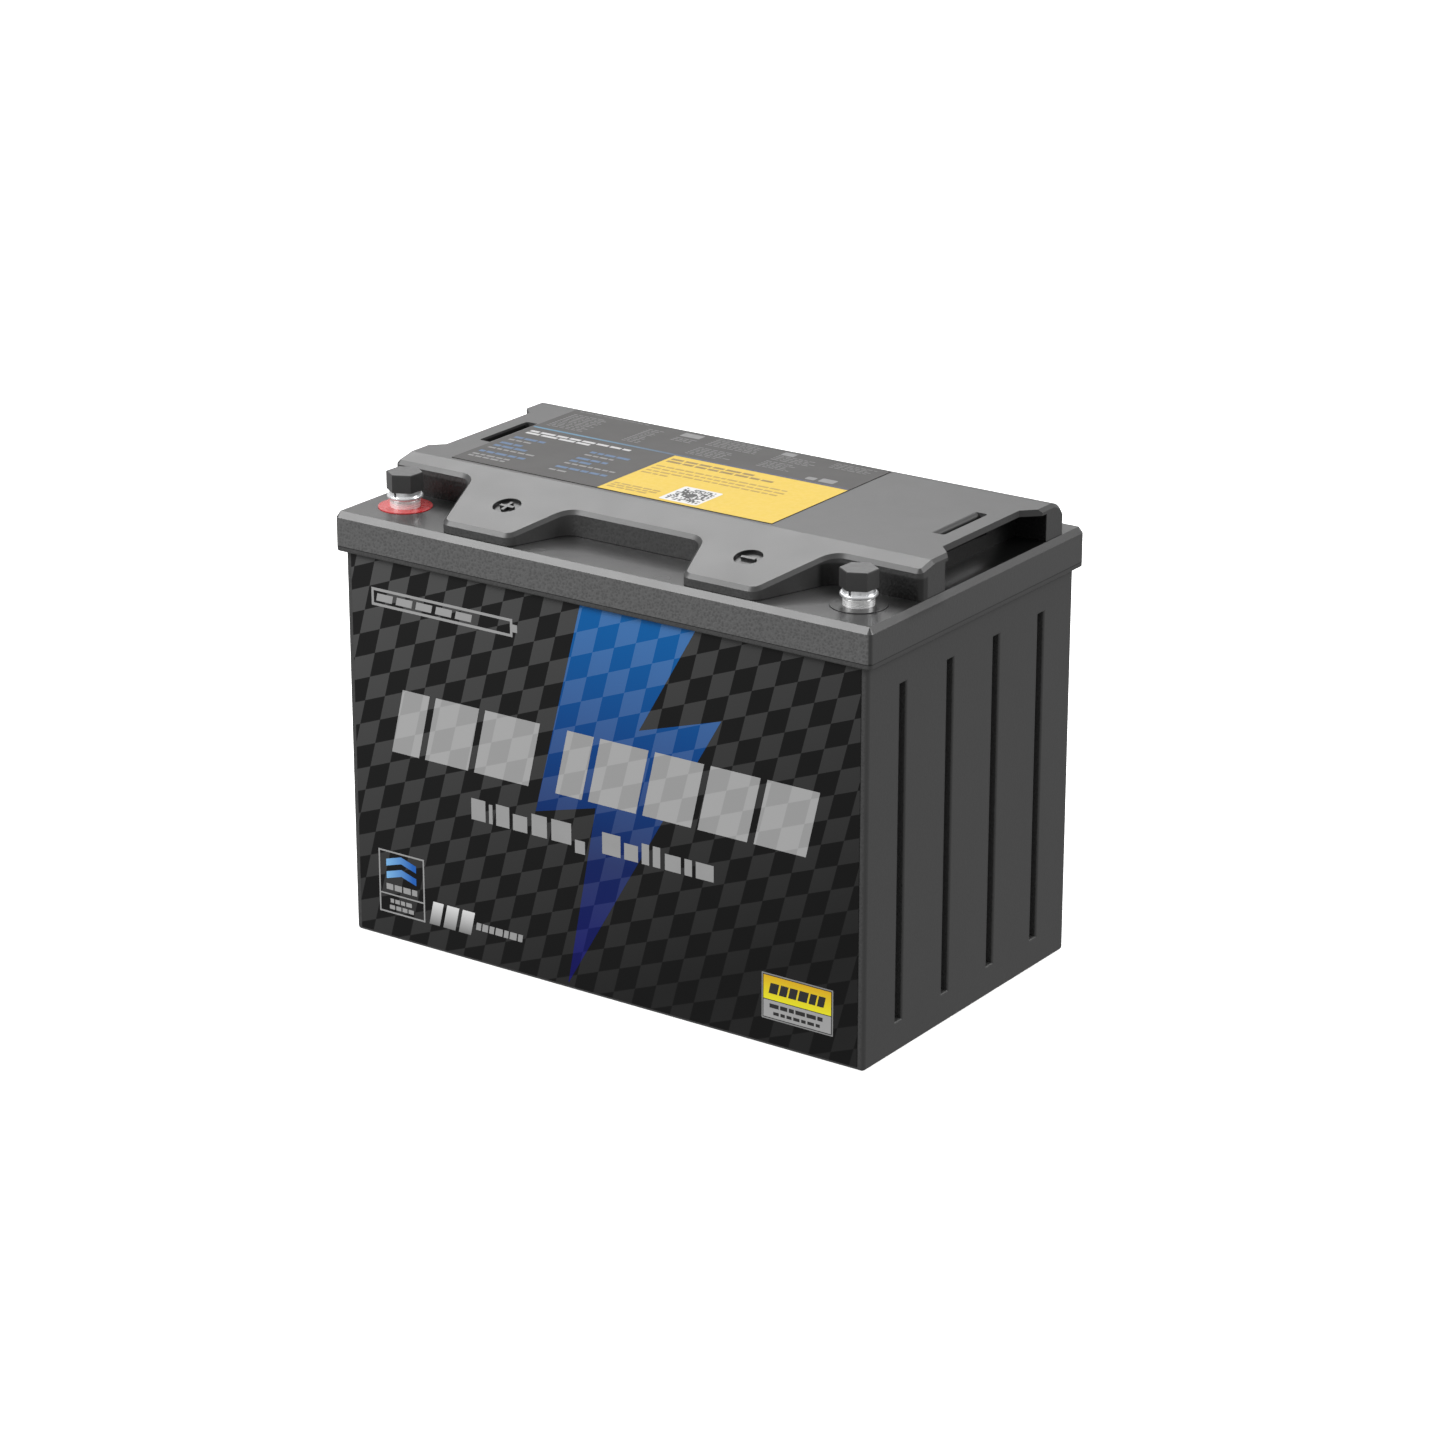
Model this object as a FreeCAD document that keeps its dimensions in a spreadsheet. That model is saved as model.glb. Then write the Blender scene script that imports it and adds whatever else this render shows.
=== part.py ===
import FreeCAD, Part
import math
import os
import re
import Sketcher
from types import SimpleNamespace

from FreeCAD import Vector

# 12 V lithium iron phosphate battery: case, bonded lid with raised deck, two bolt terminals,
# and inside it four prismatic cells in series with their busbars, leads and protection board.
# Origin: centre of the base. +X towards the negative terminal, -Y towards the labelled front.

doc = FreeCAD.newDocument("battery")

# ---------------------------------------------------------------- driving dimensions (mm)
DIMS = {
    # case and lid envelope
    "lid_len": 286.8,
    "lid_wid": 173.0,
    "flange_lip": 3.12,
    "edge_rad": 2.0,
    "base_rad": 1.5,
    "flange_rad": 0.9,
    "flange_low": 183.9,
    "seam_lvl": 186.5,
    "floor_lvl": 202.5,
    "plate_thk": 3.0,
    "rim_run": 1.88,
    "rim_drop": 2.84,
    "side_wall": 2.4,
    "end_wall": 3.0,
    "base_thk": 3.0,
    "neck_top": 196.5,
    "skirt_thk": 3.0,
    "tongue_thk": 2.0,
    "tongue_low": 180.0,
    # grooves in the two end walls
    "groove_wid": 5.0,
    "groove_dep": 3.2,
    "groove_low": 14.5,
    "groove_top": 169.6,
    "groove_gap": 37.33,
    "groove_edge": 1.0,
    "groove_back": 2.2,
    # raised deck
    "deck_top": 218.5,
    "deck_back": 73.0,
    "crease_y": 35.0,
    "slope_fall": 0.211,
    "deck_wall": 2.8,
    "deck_skin": 3.0,
    "bevel": 1.6,
    "back_rad": 11.5,
    "back_run": 9.0,
    "back_drop": 7.0,
    "plan_rad": 4.0,
    "lobe_rad": 5.5,
    "bay_rad": 8.5,
    "end_rad": 2.5,
    "lean": 0.35,
    "bay_back": 55.0,
    "bay_half": 35.75,
    "pole_bay_back": 45.3,
    "pole_bay_in": 97.7,
    "notch_in": 134.1,
    "notch_lo": 17.0,
    "notch_hi": 45.5,
    "pocket_in": 125.6,
    "pocket_lo": 26.5,
    "pocket_hi": 56.5,
    "strap_in": 121.8,
    "strap_out": 126.0,
    "strap_lo": 3.0,
    "strap_hi": 33.0,
    "strap_low": 209.5,
    "strap_edge": 2.5,
    "sign_x": 64.8,
    "sign_y": 61.8,
    "sign_rad": 6.5,
    "sign_dep": 1.4,
    "sign_len": 7.4,
    "sign_bar": 1.5,
    "sign_high": 1.2,
    "sign_root": 0.5,
    # terminals
    "term_x": 121.8,
    "term_y": 62.7,
    "post_top": 207.0,
    "post_low": 178.0,
    "post_rad": 6.4,
    "post_neck": 6.0,
    "shoulder_rad": 6.9,
    "shoulder_top": 205.8,
    "shoulder_gap": 0.03,
    "post_key": 8.3,
    "key_low": 189.0,
    "key_top": 193.0,
    "bolt_rad": 4.0,
    "bolt_len": 16.0,
    "bolt_fit": 0.08,
    "wash_thk": 1.6,
    "wash_rad": 8.2,
    "wash_round": 0.6,
    "split_thk": 2.0,
    "split_rad": 7.1,
    "head_flat": 13.0,
    "head_high": 5.3,
    "cap_flat": 14.75,
    "cap_top": 218.95,
    "cap_turn": 26.6,
    "collar_rad": 12.3,
    "collar_lip": 0.35,
    "collar_thk": 1.2,
    "sleeve_rad": 10.0,
    "sleeve_low": 183.0,
    "seal_thk": 0.8,
    "boss_rad": 13.0,
    "boss_low": 193.5,
    "nut_flat": 24.0,
    "nut_high": 6.0,
    "lug_screw_rad": 3.0,
    "lug_screw_flat": 10.0,
    "lug_screw_high": 4.0,
    "lug_screw_in": 8.0,
    # printed films
    "film": 0.25,
    "front_len": 274.0,
    "front_low": 1.6,
    "front_top": 183.3,
    "top_len": 175.6,
    "top_x": 118.7,
    "top_lo": 32.6,
    "top_hi": 62.5,
    # cells
    "cell_thk": 50.0,
    "cell_wid": 159.8,
    "cell_low": 6.0,
    "can_top": 119.0,
    "cover_thk": 2.5,
    "can_wall": 0.8,
    "roll_top": 113.0,
    "pitch": 51.0,
    "pole_y": 57.0,
    "pole_rad": 8.5,
    "pole_high": 3.0,
    "stud_rad": 3.0,
    "stud_top": 134.0,
    "stem_rad": 4.95,
    "vent_rad": 9.0,
    "bar_thk": 2.0,
    "bar_wid": 20.0,
    "pole_nut_rad": 6.5,
    "pole_nut_rim": 1.2,
    "pole_nut_flat": 10.0,
    "pole_nut_high": 6.2,
    "plate_end": 2.0,
    "strap_thk": 0.3,
    "strap_wid": 19.0,
    "pad_len": 272.0,
    "foam_out": 134.9,
    "foam_half": 78.0,
    "sheet_half": 77.0,
    "top_foam_lo": 20.0,
    "top_foam_hi": 72.0,
    # protection board on its tray
    "tray_lo": 85.0,
    "tray_hi": 60.0,
    "tray_half": 75.0,
    "tray_low": 142.0,
    "tray_thk": 3.0,
    "leg": 8.0,
    "board_low": 151.0,
    "board_thk": 1.6,
    "board_left": 80.0,
    "board_right": 50.0,
    "board_lo": 70.0,
    "board_hi": 10.0,
    "chip_thk": 4.4,
    "chip_len": 10.0,
    "chip_wid": 9.0,
    "sink_thk": 4.0,
    "sink_top": 172.0,
    "sink_left": 70.0,
    "sink_right": 30.0,
    "sink_lo": 66.0,
    "sink_hi": 6.0,
    "fin_thk": 1.6,
    "spacer_rad": 4.0,
    "spacer_bore": 1.6,
    "screw_rad": 1.5,
    "screw_pass": 1.7,
    "screw_head": 3.0,
    "screw_high": 2.4,
    "plug_left": 36.0,
    "plug_right": 48.0,
    "plug_lo": 56.0,
    "plug_hi": 42.0,
    "plug_high": 7.0,
    # leads
    "cable_rad": 4.0,
    "plus_bend": 18.0,
    "minus_bend": 30.0,
    "pack_bend": 20.0,
    "lug_thk": 2.0,
    "lug_rad": 7.5,
    "barrel_rad": 5.0,
    "barrel_len": 18.0,
    "wire_rad": 0.7,
    "wire_bend": 3.0,
}

sheet = doc.addObject("Spreadsheet::Sheet", "dims")
for row, (alias, value) in enumerate(DIMS.items(), 1):
    sheet.set("A%d" % row, alias)
    sheet.set("B%d" % row, str(value))
    sheet.setAlias("B%d" % row, alias)
doc.recompute()
D = SimpleNamespace(**DIMS)

ZERO = "0"


def ex(text):
    """Expression text with every dimension name pointed at the sheet."""
    return re.sub(r"[a-z_]+", lambda m: ("dims." if m.group(0) in DIMS else "") + m.group(0), str(text))


def num(text):
    """Value of an expression in dimension names."""
    return float(sheet.evalExpression(ex(text)))


def bind(obj, **props):
    for prop, text in props.items():
        obj.setExpression(prop, ex(text))
    return obj


def place(obj, x=ZERO, y=ZERO, z=ZERO):
    obj.setExpression("Placement.Base.x", ex(x))
    obj.setExpression("Placement.Base.y", ex(y))
    obj.setExpression("Placement.Base.z", ex(z))
    return obj


def box(name, x0, x1, y0, y1, z0, z1):
    """Box between two x, two y and two z values."""
    obj = doc.addObject("Part::Box", name)
    span = "(%s) - (%s)"
    bind(obj, Length=span % (x1, x0), Width=span % (y1, y0), Height=span % (z1, z0))
    return place(obj, x0, y0, z0)


def mirrored(side, lo, hi):
    """The two x limits on the right side, or their mirror image on the left."""
    if side > 0:
        return lo, hi
    return "-(%s)" % hi, "-(%s)" % lo


def rod(name, x, y, z0, z1, radius):
    """Upright cylinder."""
    obj = doc.addObject("Part::Cylinder", name)
    bind(obj, Radius=radius, Height="(%s) - (%s)" % (z1, z0))
    return place(obj, x, y, z0)


def hexagon(name, x, y, z0, z1, flats, turn=0.0):
    """Upright hexagonal prism given by its width across flats."""
    obj = doc.addObject("Part::Prism", name)
    obj.Polygon = 6
    bind(obj, Circumradius="(%s) / sqrt(3)" % flats, Height="(%s) - (%s)" % (z1, z0))
    obj.Placement.Rotation = FreeCAD.Rotation(Vector(0, 0, 1), turn)
    return place(obj, x, y, z0)


def wedge(name, y0, y1, near, far, low, high):
    """Prism between two y values; near and far are the x limits there, low and high the z limits."""
    obj = doc.addObject("Part::Wedge", name)
    bind(obj, Ymin=y0, Ymax=y1, Xmin=near[0], Xmax=near[1], X2min=far[0], X2max=far[1])
    bind(obj, Zmin=low[0], Z2min=low[1], Zmax=high[0], Z2max=high[1])
    return obj


def fuse(name, parts):
    obj = doc.addObject("Part::MultiFuse", name)
    obj.Shapes = parts
    obj.Refine = True
    return obj


def cut(name, base, tool):
    obj = doc.addObject("Part::Cut", name)
    obj.Base = base
    obj.Tool = tool
    obj.Refine = True
    return obj


def slab(name, length, width, z0, height, x=ZERO, y=ZERO, radius=None, foot=None):
    """Body padded up from a rectangle, with rounded upright edges and a rounded foot if asked for."""
    body = doc.addObject("PartDesign::Body", name)
    sketch = body.newObject("Sketcher::SketchObject", name + "_outline")
    plane = [o for o in body.Origin.OriginFeatures if o.Role == "XY_Plane"][0]
    sketch.AttachmentSupport = [(plane, "")]
    sketch.MapMode = "FlatFace"
    half_l = num(length) / 2
    half_w = num(width) / 2
    corners = [(-half_l, -half_w), (half_l, -half_w), (half_l, half_w), (-half_l, half_w)]
    for i in range(4):
        a = Vector(*corners[i], 0)
        b = Vector(*corners[(i + 1) % 4], 0)
        sketch.addGeometry(Part.LineSegment(a, b), False)
    for i in range(4):
        sketch.addConstraint(Sketcher.Constraint("Coincident", i, 2, (i + 1) % 4, 1))
        sketch.addConstraint(Sketcher.Constraint(("Horizontal", "Vertical")[i % 2], i))
    sketch.addConstraint(Sketcher.Constraint("Symmetric", 0, 1, 2, 1, -1, 1))
    across = sketch.addConstraint(Sketcher.Constraint("DistanceX", 0, 1, 0, 2, 2 * half_l))
    along = sketch.addConstraint(Sketcher.Constraint("DistanceY", 1, 1, 1, 2, 2 * half_w))
    sketch.setExpression("Constraints[%d]" % across, ex(length))
    sketch.setExpression("Constraints[%d]" % along, ex(width))
    pad = body.newObject("PartDesign::Pad", name + "_pad")
    pad.Profile = sketch
    bind(pad, Length=height)
    place(body, x, y, z0)
    doc.recompute()
    if radius:
        standing = lambda e: abs(e.tangentAt(e.FirstParameter).z) > 0.9
        round_edges(body, pad, name + "_corners", radius, standing)
    if foot:
        low = lambda e: e.BoundBox.ZMax < 0.01
        round_edges(body, body.Tip, name + "_foot", foot, low)
    return body


def round_edges(body, feature, name, radius, wanted):
    """PartDesign fillet on the edges of a feature, picked in the body's own frame."""
    names = ["Edge%d" % i for i, e in enumerate(feature.Shape.Edges, 1) if wanted(e)]
    fil = body.newObject("PartDesign::Fillet", name)
    fil.Base = (feature, names)
    bind(fil, Radius=radius)
    doc.recompute()


def dress(kind, name, base, sizes):
    """Part::Fillet or Part::Chamfer; sizes is a list of (test, size or two sizes)."""
    doc.recompute()
    edges = []
    for i, edge in enumerate(base.Shape.Edges, 1):
        for wanted, size in sizes:
            if wanted(edge):
                pair = size if isinstance(size, tuple) else (size, size)
                edges.append((i, pair[0], pair[1]))
                break
    obj = doc.addObject("Part::" + kind, name)
    obj.Base = base
    obj.Edges = edges
    return obj


def upright(edge, x, y):
    """True for a vertical straight edge at (+-x, y)."""
    b = edge.BoundBox
    thin = b.XLength < 1e-3 and b.YLength < 1e-3
    return thin and abs(abs(b.XMin) - x) < 0.05 and abs(b.YMin - y) < 0.05


def tube(points, bend, radius):
    """Round bar along straight runs joined by tangent arcs."""
    pts = [Vector(*p) for p in points]
    edges = []
    last = pts[0]
    for i in range(1, len(pts) - 1):
        inn = (pts[i] - pts[i - 1]).normalize()
        out = (pts[i + 1] - pts[i]).normalize()
        turn = math.acos(max(-1.0, min(1.0, inn.dot(out))))
        run = bend * math.tan(turn / 2)
        start = pts[i] - inn * run
        stop = pts[i] + out * run
        inward = (out - inn).normalize()
        centre = pts[i] + inward * (bend / math.cos(turn / 2))
        middle = centre - inward * bend
        if (start - last).Length > 1e-6:
            edges.append(Part.LineSegment(last, start).toShape())
        edges.append(Part.Arc(start, middle, stop).toShape())
        last = stop
    edges.append(Part.LineSegment(last, pts[-1]).toShape())
    spine = Part.Wire(edges)
    way = (pts[1] - pts[0]).normalize()
    ring = Part.Wire([Part.makeCircle(radius, pts[0], way)])
    solid = spine.makePipeShell([ring], True, False)
    if solid.Volume < 0:
        solid.reverse()
    want = math.pi * radius * radius * spine.Length
    assert abs(solid.Volume - want) < 0.01 * want, "lead volume"
    return solid


def shape_node(name, shape):
    obj = doc.addObject("Part::Feature", name)
    obj.Shape = shape
    return obj


nodes = {}


def node(name, obj):
    obj.Label = name
    nodes[name] = obj
    return obj


SIDES = {"positive": -1, "negative": 1}
# ---------------------------------------------------------------- case
case_len = "(lid_len - 2 * flange_lip)"
case_wid = "(lid_wid - 2 * flange_lip)"
in_len = "(lid_len - 2 * flange_lip - 2 * end_wall)"
in_wid = "(lid_wid - 2 * flange_lip - 2 * side_wall)"

shell = slab("case_walls", case_len, case_wid, ZERO, "neck_top", radius="edge_rad", foot="base_rad")
flange = slab("case_flange", "lid_len", "lid_wid", "flange_low", "seam_lvl - flange_low",
              radius="edge_rad", foot="flange_rad")
hollow = slab("case_room", in_len, in_wid, "base_thk", "floor_lvl", radius="edge_rad - 1")
rows = [k * 0.5 for k in (-3, -1, 1, 3)]
backs = []
grooves = []
for side in (-1, 1):
    for i, k in enumerate(rows):
        tag = "%s%d" % ("r" if side > 0 else "l", i)
        y = "%s * groove_gap" % k
        inner = "%s / 2" % in_len
        outer = "%s / 2" % case_len
        lo, hi = mirrored(side, inner + " - groove_back", inner + " + 1")
        backs.append(box("back_" + tag, lo, hi, y + " - groove_wid", y + " + groove_wid",
                         "base_thk - 1", "groove_top + groove_wid"))
        lo, hi = mirrored(side, outer + " - groove_dep", outer + " + 5")
        grooves.append(box("groove_" + tag, lo, hi, y + " - groove_wid / 2", y + " + groove_wid / 2",
                           "groove_low", "groove_top"))
body = fuse("case_outer", [shell, flange])
body = cut("case_open", body, hollow)
body = fuse("case_ribbed", [body] + backs)
body = cut("case_grooved", body, fuse("groove_set", grooves))
END_X = D.lid_len / 2 - D.flange_lip


def groove_mouth(edge):
    b = edge.BoundBox
    flat = b.XLength < 1e-3 and abs(abs(b.XMin) - END_X) < 0.01
    inside = b.ZMin > D.groove_low - 0.01 and b.ZMax < D.groove_top + 0.01
    return flat and inside and b.YLength < D.groove_wid + 0.01


node("case", dress("Fillet", "case_done", body, [(groove_mouth, D.groove_edge)]))

# ---------------------------------------------------------------- lid
block = slab("lid_block", "lid_len", "lid_wid", "seam_lvl", "floor_lvl - seam_lvl", radius="edge_rad")
doc.recompute()
TOP = D.floor_lvl


def lid_rim(edge):
    b = edge.BoundBox
    return b.ZMin > TOP - 0.01


block = dress("Chamfer", "lid_rim", block, [(lid_rim, (D.rim_drop, D.rim_run))])
doc.recompute()
top_face = max(block.Shape.Faces, key=lambda f: f.CenterOfMass.z)
if abs(top_face.BoundBox.XLength - (D.lid_len - 2 * D.rim_run)) > 0.05:
    block.Edges = [(i, b, a) for i, a, b in block.Edges]
under = "floor_lvl - plate_thk"
room = slab("lid_room", "lid_len - 2 * skirt_thk", "lid_wid - 2 * skirt_thk", "seam_lvl - 1",
            under + " - seam_lvl + 1", radius="1.5")
ring = slab("tongue_out", in_len + " - 0.5", in_wid + " - 0.5", "tongue_low",
            under + " - tongue_low", radius="1.75")
bore = slab("tongue_in", in_len + " - 0.5 - 2 * tongue_thk", in_wid + " - 0.5 - 2 * tongue_thk",
            "tongue_low - 1", under + " - tongue_low + 1", radius="1")
lid_ribs = []
for i, y in enumerate((-30, 10, 50)):
    lid_ribs.append(box("lid_rib%d" % i, "-%s / 2 + 1.5" % in_len, "%s / 2 - 1.5" % in_len,
                        "%d - 1" % y, "%d + 1" % y, under + " - 4", under + " + 0.5"))
bosses = []
holes = []
for who, side in SIDES.items():
    x = "%d * term_x" % side
    bosses.append(rod(who + "_boss", x, "-term_y", "boss_low", under + " + 0.5", "boss_rad"))
    holes.append(rod(who + "_lid_hole", x, "-term_y", "boss_low - 1", "floor_lvl + 1", "sleeve_rad + 0.2"))
    holes.append(rod(who + "_lid_seat", x, "-term_y", "floor_lvl - collar_thk - seal_thk", "floor_lvl + 1",
                     "collar_rad + 0.15"))
body = cut("lid_shell", block, room)
body = fuse("lid_ringed", [body, cut("tongue", ring, bore)] + bosses + lid_ribs)
node("lid", cut("lid_done", body, fuse("lid_holes", holes)))

# ---------------------------------------------------------------- deck cover
half = "(lid_len / 2 - rim_run)"
front = "(lid_wid / 2 - rim_run)"
OUT = "(lid_len)"
HIGH = ("300", "300")


def bay(name, grow, low, high):
    """Open bay between the two lobes; its side walls lean outwards towards the front."""
    reach = "(lid_wid)"
    narrow = "(bay_half + %s * sqrt(1 + lean * lean))" % grow
    wide = "(%s + lean * (%s - bay_back + %s))" % (narrow, reach, grow)
    mouth = ("-" + wide, wide)
    return wedge(name, "-" + reach, "%s - bay_back" % grow, mouth, ("-" + narrow, narrow), low, high)


def pole_bay(name, side, grow, low, high):
    """Bay around one terminal, open to the front and to the end."""
    reach = "(lid_wid)"
    back = "(pole_bay_in - %s * sqrt(1 + lean * lean))" % grow
    near = "(%s - lean * (%s - pole_bay_back + %s))" % (back, reach, grow)
    mouth = mirrored(side, near, OUT)
    return wedge(name, "-" + reach, "%s - pole_bay_back" % grow, mouth, mirrored(side, back, OUT), low, high)


def slope(name, drop):
    """Everything above the deck's sloping front plane, lowered by drop."""
    reach = "(lid_wid)"
    lip = "(deck_top - %s - slope_fall * (%s - crease_y))" % (drop, reach)
    crest = "(deck_top - %s)" % drop
    span = ("-" + OUT, OUT)
    return wedge(name, "-" + reach, "-crease_y", span, span, (lip, crest), HIGH)


ALL = ("floor_lvl - 5", "floor_lvl - 5")
solid = box("deck_block", "-" + half, half, "-" + front, "deck_back", "floor_lvl", "deck_top")
bays = fuse("deck_bays", [bay("mid_bay", "0", ALL, HIGH), pole_bay("left_bay", -1, "0", ALL, HIGH),
                          pole_bay("right_bay", 1, "0", ALL, HIGH)])
solid = cut("deck_plan", solid, bays)
FRONT = D.lid_wid / 2 - D.rim_run
HALF = D.lid_len / 2 - D.rim_run
LOBE_IN = D.bay_half + D.lean * (FRONT - D.bay_back)
LOBE_OUT = D.pole_bay_in - D.lean * (FRONT - D.pole_bay_back)
solid = dress("Fillet", "deck_rounded", solid, [
    (lambda e: upright(e, LOBE_IN, -FRONT), D.lobe_rad),
    (lambda e: upright(e, LOBE_OUT, -FRONT), D.lobe_rad),
    (lambda e: upright(e, D.bay_half, -D.bay_back), D.bay_rad),
    (lambda e: upright(e, D.pole_bay_in, -D.pole_bay_back), D.bay_rad),
    (lambda e: upright(e, HALF, -D.pole_bay_back), D.end_rad)])
solid = cut("deck_sloped", solid, slope("deck_slope", "0"))


def back_top(edge):
    b = edge.BoundBox
    return b.YLength < 1e-3 and abs(b.YMin - D.deck_back) < 0.01 and b.ZMin > D.deck_top - 0.01


solid = dress("Fillet", "deck_backed", solid, [(back_top, D.back_rad)])


def plane_height(point):
    return D.deck_top - max(0.0, D.slope_fall * (-D.crease_y - point.y))


def crown(edge):
    """Edges of the upper surface that turn down into the front, the bays and the ends."""
    b = edge.BoundBox
    mid = edge.valueAt((edge.FirstParameter + edge.LastParameter) / 2)
    ends = [v.Point for v in edge.Vertexes]
    top = all(abs(p.z - plane_height(p)) < 0.02 for p in ends + [mid])
    crease = b.XLength > 100 and abs(mid.y + D.crease_y) < 0.01
    back = b.XLength > 100 and mid.y > D.deck_back - D.back_rad - 0.01
    at_end = abs(abs(mid.x) - HALF) < 0.01 and b.XLength < 1e-3
    behind = at_end and mid.y > D.deck_back - D.back_rad - 0.01
    return (top and not crease and not back) or behind


solid = dress("Chamfer", "deck_bevelled", solid, [(crown, D.bevel)])

# the two upright back corners are rounded in plan
rounds = []
for side in (-1, 1):
    tag = "r" if side > 0 else "l"
    lo, hi = mirrored(side, half + " - plan_rad", half + " + 1")
    square = box("plan_sq_" + tag, lo, hi, "deck_back - plan_rad", "deck_back + 1",
                 "floor_lvl - 1", "deck_top + 1")
    core = rod("plan_core_" + tag, "%d * (%s - plan_rad)" % (side, half), "deck_back - plan_rad",
               "floor_lvl - 2", "deck_top + 2", "plan_rad")
    rounds.append(cut("plan_round_" + tag, square, core))
solid = cut("deck_plan_rounded", solid, fuse("plan_rounds", rounds))

# hollow underside, with ribs left standing
wall = "deck_wall"
void = box("deck_void", "deck_wall - " + half, half + " - deck_wall", "deck_wall - " + front,
           "deck_back - 4", "floor_lvl - 1", "deck_top - deck_skin")
keep = [bay("void_mid", wall, ALL, HIGH), pole_bay("void_left", -1, wall, ALL, HIGH),
        pole_bay("void_right", 1, wall, ALL, HIGH), slope("void_slope", "(deck_skin * 1.02)"),
        box("back_mass", "-" + half, half, "deck_back - back_run", "deck_back", "deck_top - back_drop",
            "deck_top + 5")]
for side in (-1, 1):
    lo, hi = mirrored(side, "strap_in - deck_wall", OUT)
    keep.append(box("end_mass%d" % (side + 1), lo, hi, "-pocket_lo - deck_wall", "pocket_hi + deck_wall",
                    "floor_lvl - 5", "deck_top + 5"))
RIB_X = (-95, -64.8, -30, 0, 30, 64.8, 95)
for i, x in enumerate(RIB_X):
    keep.append(box("deck_rib%d" % i, "%s - 1" % x, "%s + 1" % x, "-" + front, "deck_back",
                    "floor_lvl - 5", "deck_top + 5"))
for i, y in enumerate((-20, 25)):
    keep.append(box("cross_rib%d" % i, "-" + half, half, "%s - 1" % y, "%s + 1" % y,
                    "floor_lvl - 5", "deck_top + 5"))
void = cut("deck_hollow", void, fuse("deck_keep", keep))

# end pockets, notches in the top plate and strap slots
tools = [void]
for side in (-1, 1):
    tag = "r" if side > 0 else "l"
    lo, hi = mirrored(side, "pocket_in", OUT)
    tools.append(box("pocket_" + tag, lo, hi, "-pocket_lo", "pocket_hi", "floor_lvl - 1",
                     "deck_top - deck_skin"))
    far = "(lid_len / 2 + 5)"
    notch = doc.addObject("Part::Wedge", "notch_" + tag)
    bind(notch, Ymin="notch_in", Ymax=far, Zmin="deck_top - deck_skin - 1", Z2min="deck_top - deck_skin - 1",
         Zmax="deck_top + 5", Z2max="deck_top + 5")
    spread = "(%s - notch_in)" % far
    # turned so that its length runs outwards along the X axis
    near, far_side = ("-notch_hi", "notch_lo") if side > 0 else ("-notch_lo", "notch_hi")
    bind(notch, Xmin=near, X2min="%s - %s" % (near, spread))
    bind(notch, Xmax=far_side, X2max="%s + %s" % (far_side, spread))
    notch.Placement.Rotation = FreeCAD.Rotation(Vector(0, 0, 1), -90 * side)
    tools.append(notch)
    lo, hi = mirrored(side, "strap_in", "strap_out")
    slot = box("slot_" + tag, lo, hi, "-strap_lo", "strap_hi", "strap_low", "deck_top + 5")
    rim = D.strap_out * side
    outboard = lambda e, rim=rim: e.BoundBox.ZLength > 5 and abs(e.BoundBox.XMin - rim) < 0.1
    tools.append(dress("Fillet", "slot_round_" + tag, slot, [(outboard, 1.5)]))
    lip = "(strap_in - strap_edge)"
    lo, hi = mirrored(side, lip, "strap_in + 1")
    lead = box("lead_" + tag, lo, hi, "-strap_lo", "strap_hi", "deck_top - strap_edge", "deck_top + 5")
    roll = doc.addObject("Part::Cylinder", "roll_" + tag)
    bind(roll, Radius="strap_edge", Height="strap_hi + strap_lo + 2")
    roll.Placement.Rotation = FreeCAD.Rotation(Vector(1, 0, 0), -90)
    place(roll, lip if side > 0 else "-" + lip, "-strap_lo - 1", "deck_top - strap_edge")
    tools.append(cut("lip_" + tag, lead, roll))

# round recess on each lobe, square to the slope, with a raised polarity sign
tilt = math.degrees(math.atan(D.slope_fall))
ALONG = math.cos(math.radians(tilt))
ACROSS = math.sin(math.radians(tilt))
signs = []


def on_slope(obj, x, down, sink):
    """Seat an object square to the slope: at x, some way down it from the recess, and sunk into it."""
    obj.Placement = FreeCAD.Placement(Vector(0, 0, 0), FreeCAD.Rotation(Vector(1, 0, 0), tilt))
    level = "deck_top - slope_fall * (sign_y - crease_y)"
    y = "-sign_y - %.9f * (%s) + %.9f * (%s)" % (ALONG, down, ACROSS, sink)
    return place(obj, x, y, "%s - %.9f * (%s) - %.9f * (%s)" % (level, ACROSS, down, ALONG, sink))


def sign_arm(name, x, length, width):
    """One arm of a polarity sign, centred in its recess."""
    arm = doc.addObject("Part::Box", name)
    bind(arm, Length=length, Width=width, Height="sign_high + sign_root")
    return on_slope(arm, "%s - %s / 2" % (x, length), width + " / 2", "sign_dep + sign_root")


for who, side in SIDES.items():
    x = "%d * sign_x" % side
    dish = doc.addObject("Part::Cylinder", who + "_dish")
    bind(dish, Radius="sign_rad", Height="10")
    tools.append(on_slope(dish, x, ZERO, "sign_dep"))
    signs.append(sign_arm(who + "_bar", x, "sign_len", "sign_bar"))
    if who == "positive":
        signs.append(sign_arm(who + "_cross", x, "sign_bar", "sign_len"))
deck = cut("deck_opened", solid, fuse("deck_tools", tools))

node("deck_cover", fuse("deck_done", [deck] + signs))

# ---------------------------------------------------------------- printed films
node("front_label", box("front_film", "-front_len / 2", "front_len / 2", "-%s / 2 - film" % case_wid,
                        "-%s / 2" % case_wid, "front_low", "front_top"))
node("top_label", box("top_film", "-top_x", "top_len - top_x", "-top_lo", "top_hi",
                      "deck_top", "deck_top + film"))

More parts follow.
